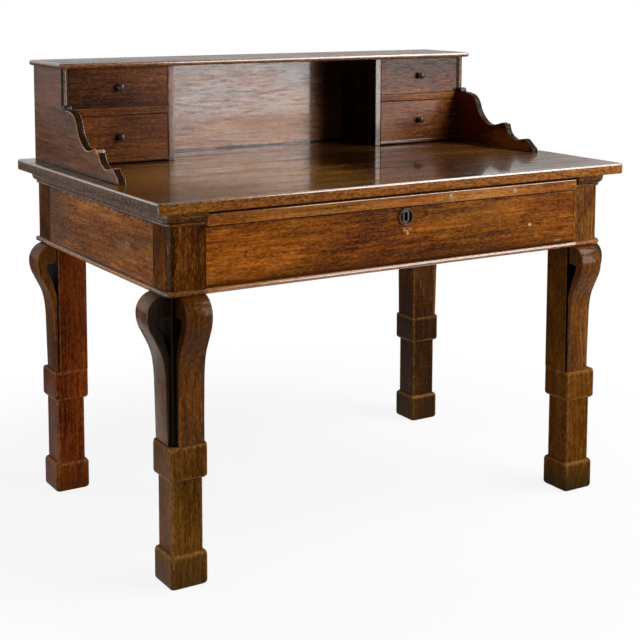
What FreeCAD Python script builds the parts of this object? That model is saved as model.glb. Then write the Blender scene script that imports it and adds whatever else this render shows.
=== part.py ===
import FreeCAD, Part
import math
import os

from FreeCAD import Vector

os.makedirs("parts", exist_ok=True)

# Walnut writing table with a gallery of four small drawers. Lengths in millimetres.
# X runs to the right, Y to the back and Z up. The origin lies on the floor under the middle of the top.

# Table top
top_width = 1180.0
top_depth = 780.0
top_height = 780.0
top_thickness = 24.0
top_corner_radius = 14.0
top_edge_radius = 3.5
top_underedge = 2.0

# Frame under the top: corner blocks, apron boards, mouldings
top_overhang = 38.0
apron_height = 166.0
apron_thickness = 24.0
block_width = 78.0
block_depth = 72.0
block_corner_radius = 20.0
cornice_height = 29.0
cornice_projection = 17.0
cornice_lip_height = 6.0
cornice_bead_height = 6.5
cornice_bead_projection = 5.5
bead_flat_share = 0.28
bead_height = 11.0
bead_projection = 9.5
bead_round_share = 0.3
apron_tenon_length = 20.0
apron_tenon_thickness = 9.0
apron_tenon_height = 110.0
rail_tenon_length = 15.0
rail_tenon_thickness = 5.0
rail_tenon_width = 40.0
joint_gap = 0.05
runner_width = 86.0
kicker_width = 76.0
kicker_height = 17.0

# Legs
leg_inset = 79.0
foot_width = 76.0
foot_height = 70.0
foot_corner_radius = 8.0
# Swell of the foot: share of its height against share of its half width that the side draws in
foot_swell_shares = [
    (0.0, 0.118),
    (0.09, 0.036),
    (0.5, 0.0),
    (0.91, 0.036),
    (1.0, 0.115),
]
shaft_width = 62.0
shaft_corner_cut = 4.0
collar_bottom = 218.0
collar_top = 289.5
collar_corner_radius = 7.0
collar_step = 6.0
collar_shoulder = 13.0
# Rounding of the collar: share of the height against share of the step that the side draws in
collar_step_shares = [(0.0, 1.0), (1.0, 0.0)]
collar_shoulder_shares = [(0.0, 0.0), (0.62, 0.24), (1.0, 1.0)]
post_width = 66.0
post_corner_radius = 3.0
leg_tenon_width = 34.0
leg_tenon_length = 60.0

# Scrolled brackets on the outer faces of the posts
bracket_width = 54.0
bracket_inner_margin = 4.5
bracket_reach = 45.0
bracket_straight = 7.0
bracket_eye_top = 42.0
bracket_eye_bottom = 136.0
# Outline of a bracket, as arcs through three places: share of its reach and share of its height
# down from the apron
bracket_arc_shares = [
    [(0.40, 0.008), (0.84, 0.055), (1.00, 0.138)],
    [(1.00, 0.138), (0.95, 0.190), (0.80, 0.245)],
    [(0.80, 0.245), (0.605, 0.303), (0.43, 0.355)],
    [(0.43, 0.355), (0.305, 0.410), (0.225, 0.470)],
    [(0.225, 0.470), (0.178, 0.540), (0.1556, 0.620)],
]
# Outer curve of the eye, also as arcs: share of the reach and share of the eye's own height
eye_arc_shares = [
    [(0.60, 0.0), (0.56, 0.14), (0.46, 0.28)],
    [(0.46, 0.28), (0.31, 0.46), (0.18, 0.66)],
    [(0.18, 0.66), (0.07, 0.84), (0.0, 1.0)],
]

# Long drawer
side_gap = 1.5
rest_gap = 0.3
front_thickness = 22.0
front_bottom_gap = 1.8
front_top_gap = 8.0
strip_height = 24.5
strip_thickness = 10.5
strip_edge_radius = 2.0
drawer_side_thickness = 12.0
drawer_side_height = 135.0
drawer_back_clearance = 58.0
drawer_back_thickness = 12.0
drawer_bottom_thickness = 7.0
drawer_groove_depth = 4.0
drawer_bottom_rise = 8.0
dovetail_length = 15.0
dovetail_flare_share = 0.16
dovetail_tail_share = 0.62
long_dovetail_count = 4
small_dovetail_count = 3

# Lock and escutcheon on the long drawer
lock_width = 56.0
lock_height = 68.0
lock_thickness = 11.0
bolt_width = 26.0
bolt_thickness = 7.0
bolt_height = 24.0
bolt_gap = 0.3
bolt_throw = 15.0
bolt_drop = 0.5
mortise_gap = 1.0
mortise_end_gap = 4.0
keyhole_rise = 110.5
keyhole_width = 5.0
keyhole_height = 20.0
escutcheon_radius = 18.0
escutcheon_thickness = 3.5
escutcheon_rim = 4.0
escutcheon_dish = 1.4
escutcheon_edge_share = 0.34

# Gallery
gallery_inset = 33.0
gallery_back_inset = 35.0
gallery_depth = 177.0
gallery_height = 221.5
gallery_side_thickness = 18.0
side_round_share = 0.33
lower_side_height = 135.0
gallery_back_thickness = 12.0
gallery_top_thickness = 12.0
gallery_top_overhang = 10.0
gallery_top_front_overhang = 14.0
gallery_top_back_overhang = 5.0
gallery_top_round_share = 0.42
partition_thickness = 16.5
compartment_width = 563.0
upright_setback = 2.5
shelf_bottom_rise = 112.0
shelf_thickness = 18.0
shelf_setback = 3.0
under_board_rise = 3.5
under_board_thickness = 7.5
wing_length = 306.0
wing_roundel_stand = 1.2
# Outline of a wing, as arcs: share of its length forward of the gallery and share of the side's height
wing_arc_shares = [
    [(0.052, 0.955), (0.125, 0.952), (0.196, 0.912)],
    [(0.196, 0.912), (0.236, 0.838), (0.262, 0.735)],
    [(0.262, 0.735), (0.300, 0.582), (0.352, 0.474)],
    [(0.352, 0.474), (0.415, 0.402), (0.480, 0.390)],
    [(0.480, 0.390), (0.545, 0.420), (0.605, 0.458)],
    [(0.656, 0.390), (0.684, 0.277), (0.735, 0.202)],
    [(0.735, 0.202), (0.790, 0.174), (0.840, 0.198)],
    [(0.905, 0.205), (0.940, 0.140), (0.985, 0.070)],
]
# Round ends at the tips of the wing: share along, share up, share of the largest radius
wing_roundel_radius = 8.0
wing_roundel_shares = [
    (0.026, 0.985, 1.0),
    (0.634, 0.414, 0.74),
    (0.880, 0.184, 0.68),
    (0.975, 0.045, 0.62),
]

# Small drawers
small_gap = 1.0
small_front_thickness = 16.0
small_side_thickness = 8.0
small_side_drop = 9.0
small_bottom_thickness = 4.0
small_bottom_rise = 5.0
small_groove_depth = 3.0
small_front_setback = 3.0
small_back_gap = 3.0
small_dovetail_length = 11.0
knob_radius = 8.5
knob_length = 17.0
# Turned outline of a knob: share of its radius against share of its length
knob_profile_shares = [
    (0.72, 0.0),
    (0.46, 0.30),
    (1.0, 0.58),
    (0.92, 0.82),
    (0.50, 1.0),
    (0.0, 1.0),
]
knob_pin_radius = 3.0
knob_pin_length = 9.0
pin_gap = 0.05

# Derived places
half_width = top_width / 2
half_depth = top_depth / 2
top_underside = top_height - top_thickness
apron_bottom = top_underside - apron_height
face_x = half_width - top_overhang
face_y = half_depth - top_overhang
block_in_x = face_x - block_width
block_in_y = face_y - block_depth
leg_x = half_width - leg_inset
leg_y = half_depth - leg_inset
rail_top = apron_bottom + bead_height
gallery_half = half_width - gallery_inset
gallery_back = half_depth - gallery_back_inset
gallery_front = gallery_back - gallery_depth
drawer_length = face_y + face_y - apron_thickness - drawer_back_clearance - front_thickness
gallery_inner = gallery_half - gallery_side_thickness
gallery_top_underside = top_height + gallery_height
partition_in = compartment_width / 2
partition_out = partition_in + partition_thickness
upright_front = gallery_front + upright_setback
back_board_front = gallery_back - gallery_back_thickness
shelf_bottom = top_height + shelf_bottom_rise
shelf_top = shelf_bottom + shelf_thickness
lower_opening_bottom = top_height + under_board_rise + under_board_thickness


def save(name, shape):
    """Write one node's shape into its own file."""
    shape.exportStep(os.path.join("parts", name + ".step"))


def box(x0, x1, y0, y1, z0, z1):
    """Return the block between two values on each axis."""
    return Part.makeBox(x1 - x0, y1 - y0, z1 - z0, Vector(x0, y0, z0))


def place(shape, side_x, side_y):
    """Return a shape made for the front left corner, turned over to the corner named by two signs."""
    if side_x > 0:
        shape = shape.mirror(Vector(0, 0, 0), Vector(1, 0, 0))
    if side_y > 0:
        shape = shape.mirror(Vector(0, 0, 0), Vector(0, 1, 0))
    return shape


def closed_face(points):
    """Return the flat face inside a closed run of straight lines."""
    return Part.Face(Part.makePolygon(points + [points[0]]))


def ease(shape, chooser, radius):
    """Round the edges that the chooser accepts."""
    edges = [edge for edge in shape.Edges if chooser(edge)]
    if not edges:
        return shape
    return shape.makeFillet(radius, edges)


def is_upright(edge):
    """Tell whether an edge runs straight up."""
    first = edge.Vertexes[0].Point
    last = edge.Vertexes[-1].Point
    drift = math.hypot(last.x - first.x, last.y - first.y)
    return drift < joint_gap and abs(last.z - first.z) > joint_gap


def at_outer_corner(edge, x, y):
    """Tell whether an edge lies at the front left corner given by two values."""
    middle = edge.CenterOfMass
    return middle.x < x + joint_gap and middle.y < y + joint_gap


def rounded_outline(x0, x1, y0, y1, z, radius):
    """Return a closed rectangle with round corners lying at one height."""
    corners = [(x1 - radius, y1 - radius, 0), (x0 + radius, y1 - radius, 1)]
    corners += [(x0 + radius, y0 + radius, 2), (x1 - radius, y0 + radius, 3)]
    edges = []
    ends = []
    for cx, cy, quarter in corners:
        points = []
        for step in (0, 1, 2):
            angle = math.pi / 2 * quarter + math.pi / 4 * step
            points.append(Vector(cx + radius * math.cos(angle), cy + radius * math.sin(angle), z))
        ends.append((points[0], points[2]))
        edges.append(Part.Arc(points[0], points[1], points[2]).toShape())
    outline = []
    for index in range(len(edges)):
        outline.append(edges[index])
        outline.append(Part.makeLine(ends[index][1], ends[(index + 1) % len(ends)][0]))
    return Part.Wire(outline)


def stacked(sections):
    """Return the solid that passes straight from each closed outline to the next."""
    return Part.makeLoft(sections, True, True)


def swelled_foot():
    """Return the foot: a square block whose sides swell and whose edges are all rounded."""
    half = foot_width / 2
    sections = []
    for height_share, inset_share in foot_swell_shares:
        reach = half - half * inset_share
        bounds = (-leg_x - reach, -leg_x + reach, -leg_y - reach, -leg_y + reach)
        sections.append(rounded_outline(*bounds, foot_height * height_share, foot_corner_radius))
    return stacked(sections)


def square_shaft():
    """Return the plain square part between the foot and the collar."""
    half = shaft_width / 2
    shape = box(-leg_x - half, -leg_x + half, -leg_y - half, -leg_y + half, foot_height, collar_bottom)
    return shape.makeChamfer(shaft_corner_cut, [edge for edge in shape.Edges if is_upright(edge)])


def collar():
    """Return the collar: stepped out on four sides below and rounded over on the two outer sides above."""
    half = foot_width / 2
    step = half - shaft_width / 2
    over = foot_width - post_width
    rise = collar_top - collar_bottom
    sections = []
    for height_share, inset_share in collar_step_shares:
        z = collar_bottom + collar_step * height_share
        inset = step * inset_share
        reach = half - inset
        bounds = (-leg_x - reach, -leg_x + reach, -leg_y - reach, -leg_y + reach)
        sections.append(rounded_outline(*bounds, z, collar_corner_radius))
    lower = stacked(sections)
    straight_top = collar_top - collar_shoulder
    bounds = (-leg_x - half, -leg_x + half, -leg_y - half, -leg_y + half)
    middle_outline = rounded_outline(*bounds, collar_bottom + collar_step, collar_corner_radius)
    middle = Part.Face(middle_outline).extrude(Vector(0, 0, rise - collar_step - collar_shoulder))
    sections = []
    for height_share, inset_share in collar_shoulder_shares:
        z = straight_top + collar_shoulder * height_share
        inset = over * inset_share
        bounds = (-leg_x - half + inset, -leg_x + half, -leg_y - half + inset, -leg_y + half)
        sections.append(rounded_outline(*bounds, z, collar_corner_radius))
    upper = stacked(sections)
    return lower.fuse([middle, upper])


def post_bounds():
    """Return the post's sides in X and Y: flush with the collar on the two inner faces."""
    inner_x = -leg_x + foot_width / 2
    inner_y = -leg_y + foot_width / 2
    return inner_x - post_width, inner_x, inner_y - post_width, inner_y


def leg():
    """Return one leg with its foot, shaft, collar, post and the tenon on top."""
    x0, x1, y0, y1 = post_bounds()
    post = box(x0, x1, y0, y1, collar_top, apron_bottom)
    post = ease(post, lambda edge: is_upright(edge) and at_outer_corner(edge, x0, y0), post_corner_radius)
    middle_x = (x0 + x1) / 2
    middle_y = (y0 + y1) / 2
    half = leg_tenon_width / 2
    tenon = box(middle_x - half, middle_x + half, middle_y - half, middle_y + half, apron_bottom,
                apron_bottom + leg_tenon_length)
    return swelled_foot().fuse([square_shaft(), collar(), post, tenon]).removeSplitter()


def arc_run(start, arcs, end):
    """Return the edges from a start through arcs of three points to an end, with straight lines between."""
    edges = []
    place_now = start
    for first, middle, last in arcs:
        if place_now.distanceToPoint(first) > joint_gap:
            edges.append(Part.makeLine(place_now, first))
        edges.append(Part.Arc(first, middle, last).toShape())
        place_now = last
    if place_now.distanceToPoint(end) > joint_gap:
        edges.append(Part.makeLine(place_now, end))
    return edges


def share_points(arc_shares, to_point):
    """Return arcs of three points from arcs of shares."""
    return [[to_point(along, across) for along, across in arc] for arc in arc_shares]


def bracket_profile():
    """Return the bracket's side view as a face: X is the reach from the post, Z the height."""
    height = apron_bottom - collar_top
    eye_height = bracket_eye_bottom - bracket_eye_top
    eye_high = apron_bottom - bracket_eye_top

    def on_outline(out, down):
        return Vector(bracket_reach * out, 0, apron_bottom - height * down)

    def on_eye(out, down):
        return Vector(bracket_reach * out, 0, eye_high - eye_height * down)

    outer = share_points(bracket_arc_shares, on_outline)
    eye = share_points(eye_arc_shares, on_eye)
    top_in = Vector(0, 0, apron_bottom)
    top_out = Vector(outer[0][0].x, 0, apron_bottom)
    foot_out = Vector(bracket_straight, 0, collar_top)
    foot_in = Vector(0, 0, collar_top)
    back = [list(reversed(arc)) for arc in reversed(eye)]
    edges = [Part.makeLine(top_in, top_out)]
    edges += arc_run(top_out, outer, foot_out)
    edges.append(Part.makeLine(foot_out, foot_in))
    edges += arc_run(foot_in, back, Vector(0, 0, eye_high))
    edges.append(Part.makeLine(Vector(0, 0, eye_high), top_in))
    return Part.Face(Part.Wire(edges))


def upright_bracket():
    """Return a bracket standing at the origin, reaching along +X, with its width along +Y."""
    return bracket_profile().extrude(Vector(0, bracket_width, 0))


def front_bracket():
    """Return the bracket on the front face of the front left post."""
    x0, x1, y0, y1 = post_bounds()
    shape = upright_bracket()
    shape.rotate(Vector(0, 0, 0), Vector(0, 0, 1), -90)
    shape.translate(Vector(x1 - bracket_inner_margin - bracket_width, y0, 0))
    return shape


def side_bracket():
    """Return the bracket on the left face of the front left post."""
    x0, x1, y0, y1 = post_bounds()
    shape = upright_bracket()
    shape.rotate(Vector(0, 0, 0), Vector(0, 0, 1), 180)
    shape.translate(Vector(x0, y1 - bracket_inner_margin, 0))
    return shape


def cornice_profile(base):
    """Return the cornice's section, out from the value given: lip, quarter-round and small bead."""
    top = top_underside
    lip = top - cornice_lip_height
    bead_top = top - cornice_height + cornice_bead_height
    step = base + cornice_bead_projection
    out = base + cornice_projection
    bottom = top - cornice_height
    belly_drop = lip - bead_top
    belly = Vector(step + (out - step) * math.sin(math.pi / 3), 0, lip - belly_drop / 2)
    nose_high = Vector(step, 0, bead_top - cornice_bead_height * bead_flat_share)
    nose_low = Vector(step, 0, bottom + cornice_bead_height * bead_flat_share)
    shoulder = base + cornice_bead_projection / 2
    edges = [
        Part.makeLine(Vector(0, 0, top), Vector(out, 0, top)),
        Part.makeLine(Vector(out, 0, top), Vector(out, 0, lip)),
        Part.Arc(Vector(out, 0, lip), belly, Vector(step, 0, bead_top)).toShape(),
        Part.makeLine(Vector(step, 0, bead_top), Vector(shoulder, 0, bead_top)),
        Part.makeLine(Vector(shoulder, 0, bead_top), nose_high),
        Part.makeLine(nose_high, nose_low),
        Part.makeLine(nose_low, Vector(shoulder, 0, bottom)),
        Part.makeLine(Vector(shoulder, 0, bottom), Vector(0, 0, bottom)),
        Part.makeLine(Vector(0, 0, bottom), Vector(0, 0, top)),
    ]
    return Part.Face(Part.Wire(edges))


def bead_profile(base):
    """Return the bottom bead's section: a half-round nose out from the value given."""
    flat = base + bead_projection - bead_height * bead_round_share
    nose = Vector(base + bead_projection, 0, apron_bottom + bead_height / 2)
    edges = [
        Part.makeLine(Vector(0, 0, apron_bottom), Vector(flat, 0, apron_bottom)),
        Part.Arc(Vector(flat, 0, apron_bottom), nose, Vector(flat, 0, rail_top)).toShape(),
        Part.makeLine(Vector(flat, 0, rail_top), Vector(0, 0, rail_top)),
        Part.makeLine(Vector(0, 0, rail_top), Vector(0, 0, apron_bottom)),
    ]
    return Part.Face(Part.Wire(edges))


def turned_quarter(profile, x, y):
    """Return the quarter turn of a section about an upright line, over the front left corner."""
    shape = profile.revolve(Vector(0, 0, 0), Vector(0, 0, 1), 90)
    shape.rotate(Vector(0, 0, 0), Vector(0, 0, 1), 180)
    shape.translate(Vector(x, y, 0))
    return shape


def run_left(profile, y0, y1):
    """Return a section run along the left face between two values of Y."""
    shape = profile.copy()
    shape.rotate(Vector(0, 0, 0), Vector(0, 0, 1), 180)
    shape.translate(Vector(0, y0, 0))
    return shape.extrude(Vector(0, y1 - y0, 0))


def run_front(profile, x0, x1):
    """Return a section run along the front face between two values of X."""
    shape = profile.copy()
    shape.rotate(Vector(0, 0, 0), Vector(0, 0, 1), -90)
    shape.translate(Vector(x0, 0, 0))
    return shape.extrude(Vector(x1 - x0, 0, 0))


def moulded_corner(make_profile):
    """Return one moulding carried along the front block's side, round its corner and along its front."""
    centre_x = -face_x + block_corner_radius
    centre_y = -face_y + block_corner_radius
    corner = turned_quarter(make_profile(block_corner_radius), centre_x, centre_y)
    side = run_left(make_profile(block_corner_radius), centre_y, -block_in_y)
    side.translate(Vector(centre_x, 0, 0))
    front = run_front(make_profile(block_corner_radius), centre_x, -block_in_x)
    front.translate(Vector(0, centre_y, 0))
    return [corner, side, front]


def leg_mortise():
    """Return the space that the leg's tenon takes in the block above it."""
    x0, x1, y0, y1 = post_bounds()
    middle_x = (x0 + x1) / 2
    middle_y = (y0 + y1) / 2
    half = leg_tenon_width / 2 + joint_gap
    return box(middle_x - half, middle_x + half, middle_y - half, middle_y + half, apron_bottom,
               apron_bottom + leg_tenon_length + joint_gap)


def side_tenon(gap):
    """Return the side apron's tenon in the front left block, enlarged by a gap."""
    middle = -face_x + apron_thickness / 2
    half = apron_tenon_thickness / 2 + gap
    z0 = apron_bottom + (apron_height - apron_tenon_height) / 2 - gap
    z1 = z0 + apron_tenon_height + gap + gap
    return box(middle - half, middle + half, -block_in_y - apron_tenon_length - gap, -block_in_y, z0, z1)


def back_tenon(gap):
    """Return the back apron's tenon in a rear block, drawn at the front left and enlarged by a gap."""
    middle = -face_y + apron_thickness / 2
    half = apron_tenon_thickness / 2 + gap
    z0 = apron_bottom + (apron_height - apron_tenon_height) / 2 - gap
    z1 = z0 + apron_tenon_height + gap + gap
    return box(-block_in_x - apron_tenon_length - gap, -block_in_x, middle - half, middle + half, z0, z1)


def rail_tenon(gap):
    """Return the front rail's tenon in the front left block, enlarged by a gap."""
    low = apron_bottom + (bead_height - rail_tenon_thickness) / 2 - gap
    high = low + rail_tenon_thickness + gap + gap
    y0 = -face_y + (block_depth - rail_tenon_width) / 2 - gap
    y1 = y0 + rail_tenon_width + gap + gap
    return box(-block_in_x - rail_tenon_length - gap, -block_in_x, y0, y1, low, high)


def front_block():
    """Return the front left corner block with its rounded corner and the returns of both mouldings."""
    core = box(-face_x, -block_in_x, -face_y, -block_in_y, apron_bottom, top_underside)
    core = ease(core, lambda edge: is_upright(edge) and at_outer_corner(edge, -face_x, -face_y),
                block_corner_radius)
    shape = core.fuse(moulded_corner(cornice_profile) + moulded_corner(bead_profile)).removeSplitter()
    return shape.cut([leg_mortise(), side_tenon(joint_gap), rail_tenon(joint_gap)])


def rear_block():
    """Return the rear left corner block, drawn at the front left; its mouldings stop at the back."""
    core = box(-face_x, -block_in_x, -face_y, -block_in_y, apron_bottom, top_underside)
    strips = []
    for make_profile in (cornice_profile, bead_profile):
        strip = run_left(make_profile(block_corner_radius), -face_y, -block_in_y)
        strip.translate(Vector(-face_x + block_corner_radius, 0, 0))
        strips.append(strip)
    shape = core.fuse(strips).removeSplitter()
    return shape.cut([leg_mortise(), side_tenon(joint_gap), back_tenon(joint_gap)])


def side_apron():
    """Return the left apron board with a tenon at each end."""
    board = box(-face_x, -face_x + apron_thickness, -block_in_y, block_in_y, apron_bottom, top_underside)
    tenon = side_tenon(0)
    return board.fuse([tenon, place(tenon, -1, 1)]).removeSplitter()


def back_apron():
    """Return the back apron board with a tenon at each end."""
    board = box(-block_in_x, block_in_x, face_y - apron_thickness, face_y, apron_bottom, top_underside)
    tenon = place(back_tenon(0), -1, 1)
    return board.fuse([tenon, place(tenon, 1, -1)]).removeSplitter()


def side_strip(make_profile):
    """Return the part of a moulding that is planted on the left apron board between the blocks."""
    strip = run_left(make_profile(block_corner_radius), -block_in_y, block_in_y)
    strip.translate(Vector(-face_x + block_corner_radius, 0, 0))
    return strip.cut(box(-face_x, 0, -face_y, face_y, 0, top_height))


def front_rail():
    """Return the rail under the long drawer with its half-round front edge and a tenon at each end."""
    strip = run_front(bead_profile(block_corner_radius), -block_in_x, block_in_x)
    strip.translate(Vector(0, -face_y + block_corner_radius, 0))
    board = box(-block_in_x, block_in_x, -face_y, -block_in_y, apron_bottom, rail_top)
    tenon = rail_tenon(0)
    return board.fuse([strip, tenon, place(tenon, 1, -1)]).removeSplitter()


def runner():
    """Return the board that carries the drawer's left side."""
    x0 = -face_x + apron_thickness
    return box(x0, x0 + runner_width, -block_in_y, block_in_y, apron_bottom, rail_top)


def kicker():
    """Return the strip above the drawer's left side that keeps the open drawer level."""
    x0 = -face_x + apron_thickness
    return box(x0, x0 + kicker_width, -block_in_y, block_in_y, top_underside - kicker_height, top_underside)


def bolt_box(gap, z0, z1):
    """Return the upright space of the bolt, enlarged by a gap on its four sides."""
    middle = -face_y + front_thickness - lock_thickness / 2
    half_w = bolt_width / 2 + gap
    half_t = bolt_thickness / 2 + gap
    return box(-half_w, half_w, middle - half_t, middle + half_t, z0, z1)


def table_top():
    """Return the top board with eased edges, round corners and the small mortise for the lock bolt."""
    board = box(-half_width, half_width, -half_depth, half_depth, top_underside, top_height)
    board = ease(board, is_upright, top_corner_radius)
    board = ease(board, lambda edge: edge.CenterOfMass.z > top_height - joint_gap, top_edge_radius)
    under = [edge for edge in board.Edges if edge.CenterOfMass.z < top_underside + joint_gap]
    board = board.makeChamfer(top_underedge, under)
    mortise_top = drawer_levels()[1] - bolt_drop + bolt_throw + mortise_end_gap
    return board.cut(bolt_box(mortise_gap, top_underside, mortise_top))


def drawer_levels():
    """Return the bottom and top of the long drawer's front."""
    return rail_top + front_bottom_gap, top_underside - front_top_gap


def tail_shapes(x0, x1, y_root, length, z0, z1, count, gap):
    """Return a row of dovetails that widen away from the drawer side, towards the front."""
    pitch = (z1 - z0) / count
    tails = []
    for index in range(count):
        middle = z0 + pitch * index + pitch / 2
        narrow = pitch * dovetail_tail_share / 2 + gap
        wide = narrow + length * dovetail_flare_share
        outline = [
            Vector(x0, y_root, middle - narrow),
            Vector(x0, y_root, middle + narrow),
            Vector(x0, y_root - length - gap, middle + wide),
            Vector(x0, y_root - length - gap, middle - wide),
        ]
        tails.append(closed_face(outline).extrude(Vector(x1 - x0, 0, 0)))
    return tails


def keyhole(y0, y1):
    """Return the keyhole's space: an upright slot with a round top, running from front to back."""
    z = apron_bottom + keyhole_rise
    half = keyhole_width / 2
    straight = keyhole_height / 2 - half
    slot = box(-half, half, y0, y1, z - keyhole_height / 2, z + straight)
    arch = Part.makeCylinder(half, y1 - y0, Vector(0, y0, z + straight), Vector(0, 1, 0))
    return slot.fuse(arch).removeSplitter()


def lock_place():
    """Return the lock case's bounds in the back of the drawer front."""
    high = drawer_levels()[1]
    back = -face_y + front_thickness
    return -lock_width / 2, lock_width / 2, back - lock_thickness, back, high - lock_height, high


def drawer_side_bounds():
    """Return the left side's bounds: X, then Y behind the front, then Z."""
    x0 = -block_in_x + side_gap
    y0 = -face_y + front_thickness
    z0 = rail_top + rest_gap
    return x0, x0 + drawer_side_thickness, y0, y0 + drawer_length, z0, z0 + drawer_side_height


def drawer_front():
    """Return the long drawer's front with its dovetail sockets, lock pocket and keyhole."""
    low, high = drawer_levels()
    half = block_in_x - side_gap
    board = box(-half, half, -face_y, -face_y + front_thickness, low, high)
    x0, x1, y0, y1, z0, z1 = drawer_side_bounds()
    base = low + joint_gap
    sockets = tail_shapes(x0, x1 + joint_gap, y0, dovetail_length, base, z1, long_dovetail_count, joint_gap)
    sockets += [place(socket, 1, -1) for socket in sockets]
    lock = box(*lock_place())
    return board.cut(sockets + [lock, keyhole(-face_y, -face_y + front_thickness)])


def drawer_strip():
    """Return the moulded strip planted along the upper edge of the long drawer's front."""
    low, high = drawer_levels()
    half = block_in_x - side_gap
    strip = box(-half, half, -face_y - strip_thickness, -face_y, high - strip_height, high)
    outer = lambda edge: abs(edge.CenterOfMass.y + face_y + strip_thickness) < joint_gap
    return ease(strip, outer, strip_edge_radius)


def box_side(bounds, tail_base, tail_length, count, groove):
    """Return a drawer's left side with its dovetails in front and the groove for the bottom."""
    x0, x1, y0, y1, z0, z1 = bounds
    side = box(x0, x1, y0, y1, z0, z1)
    tails = tail_shapes(x0, x1, y0, tail_length, tail_base, z1, count, 0)
    return side.fuse(tails).removeSplitter().cut(groove)


def bottom_board(bounds, half_inner, depth, rise, thickness, gap):
    """Return a drawer's bottom, which enters the grooves of both sides, enlarged by a gap."""
    x0, x1, y0, y1, z0, z1 = bounds
    reach = half_inner + depth + gap
    low = z0 + rise - gap
    return box(-reach, reach, y0, y1, low, low + thickness + gap + gap)


def long_box():
    """Return the long drawer's box: two dovetailed sides, back and bottom."""
    bounds = drawer_side_bounds()
    x0, x1, y0, y1, z0, z1 = bounds
    inner = -x1
    sizes = (drawer_groove_depth, drawer_bottom_rise, drawer_bottom_thickness)
    groove = bottom_board(bounds, inner, *sizes, joint_gap)
    left = box_side(bounds, drawer_levels()[0] + joint_gap, dovetail_length, long_dovetail_count, [groove])
    right = place(left, 1, -1)
    bottom = bottom_board(bounds, inner, *sizes, 0)
    back_bottom = z0 + drawer_bottom_rise + drawer_bottom_thickness
    back = box(-inner, inner, y1 - drawer_back_thickness, y1, back_bottom, z1)
    return Part.makeCompound([left, right, bottom, back])


def escutcheon():
    """Return the round escutcheon with a raised rim and the keyhole through it."""
    z = apron_bottom + keyhole_rise
    forward = Vector(0, -1, 0)
    disc = Part.makeCylinder(escutcheon_radius, escutcheon_thickness, Vector(0, -face_y, z), forward)
    rim = [edge for edge in disc.Edges if edge.CenterOfMass.y < -face_y - escutcheon_thickness + joint_gap]
    disc = disc.makeChamfer(escutcheon_thickness * escutcheon_edge_share, rim)
    dish_start = Vector(0, -face_y - escutcheon_thickness + escutcheon_dish, z)
    dish = Part.makeCylinder(escutcheon_radius - escutcheon_rim, escutcheon_dish, dish_start, forward)
    return disc.cut([dish, keyhole(-face_y - escutcheon_thickness, -face_y)])


def lock_case():
    """Return the lock case with the slot of its bolt and the way in for the key."""
    bounds = lock_place()
    high = bounds[5]
    case = box(*bounds)
    slot = bolt_box(bolt_gap, high - bolt_height - bolt_drop - bolt_gap, high)
    key = keyhole(bounds[2], bounds[2] + lock_thickness / 2)
    return case.cut([slot, key])


def lock_bolt():
    """Return the bolt, drawn back just under the top edge of the drawer front."""
    high = drawer_levels()[1] - bolt_drop
    return bolt_box(0, high - bolt_height, high)


def gallery_top():
    """Return the gallery's top board with rounded front, side and back edges."""
    x = gallery_half + gallery_top_overhang
    y0 = gallery_front - gallery_top_front_overhang
    y1 = gallery_back + gallery_top_back_overhang
    board = box(-x, x, y0, y1, gallery_top_underside, gallery_top_underside + gallery_top_thickness)
    seen = lambda edge: edge.CenterOfMass.y < y1 - joint_gap
    return ease(board, seen, gallery_top_thickness * gallery_top_round_share)


def gallery_back_board():
    """Return the board that closes the gallery at the back."""
    z1 = gallery_top_underside
    return box(-gallery_inner, gallery_inner, back_board_front, gallery_back, top_height, z1)


def upper_side():
    """Return the upper left side board, with a hollow on each side of its rounded front edge."""
    z0 = top_height + lower_side_height
    board = box(-gallery_half, -gallery_inner, gallery_front, gallery_back, z0, gallery_top_underside)
    front = lambda edge: is_upright(edge) and edge.CenterOfMass.y < gallery_front + joint_gap
    return ease(board, front, gallery_side_thickness * side_round_share)


def wing_outline():
    """Return the lower side board's outline in Y and Z, with the scrolled wing in front."""
    x = -gallery_half
    high = top_height + lower_side_height

    def on_wing(along, up):
        return Vector(x, gallery_front - wing_length * along, top_height + lower_side_height * up)

    arcs = share_points(wing_arc_shares, on_wing)
    start = Vector(x, gallery_front, high)
    tip = Vector(x, gallery_front - wing_length, top_height)
    back_low = Vector(x, gallery_back, top_height)
    back_high = Vector(x, gallery_back, high)
    edges = arc_run(start, arcs, tip)
    edges.append(Part.makeLine(tip, back_low))
    edges.append(Part.makeLine(back_low, back_high))
    edges.append(Part.makeLine(back_high, start))
    return Part.Wire(edges)


def lower_side():
    """Return the lower left side board that runs forward as a scrolled wing with round ends at its tips."""
    board = Part.Face(wing_outline()).extrude(Vector(gallery_side_thickness, 0, 0))
    floor = box(-top_width, top_width, -half_depth, half_depth, 0, top_height)
    side_top = top_height + lower_side_height
    above = box(-top_width, top_width, gallery_front, gallery_back, side_top, gallery_top_underside)
    roundels = []
    for along_share, up_share, radius_share in wing_roundel_shares:
        y = gallery_front - wing_length * along_share
        z = top_height + lower_side_height * up_share
        start = Vector(-gallery_half - wing_roundel_stand, y, z)
        length = gallery_side_thickness + wing_roundel_stand
        radius = wing_roundel_radius * radius_share
        roundels.append(Part.makeCylinder(radius, length, start, Vector(1, 0, 0)))
    return board.fuse(roundels).cut([floor, above]).removeSplitter()


def partition():
    """Return the left upright board between the open compartment and the small drawers."""
    z1 = gallery_top_underside
    return box(-partition_out, -partition_in, upright_front, back_board_front, top_height, z1)


def shelf():
    """Return the left shelf between the upper and the lower small drawer."""
    y0 = gallery_front + shelf_setback
    return box(-gallery_inner, -partition_out, y0, back_board_front, shelf_bottom, shelf_top)


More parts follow.
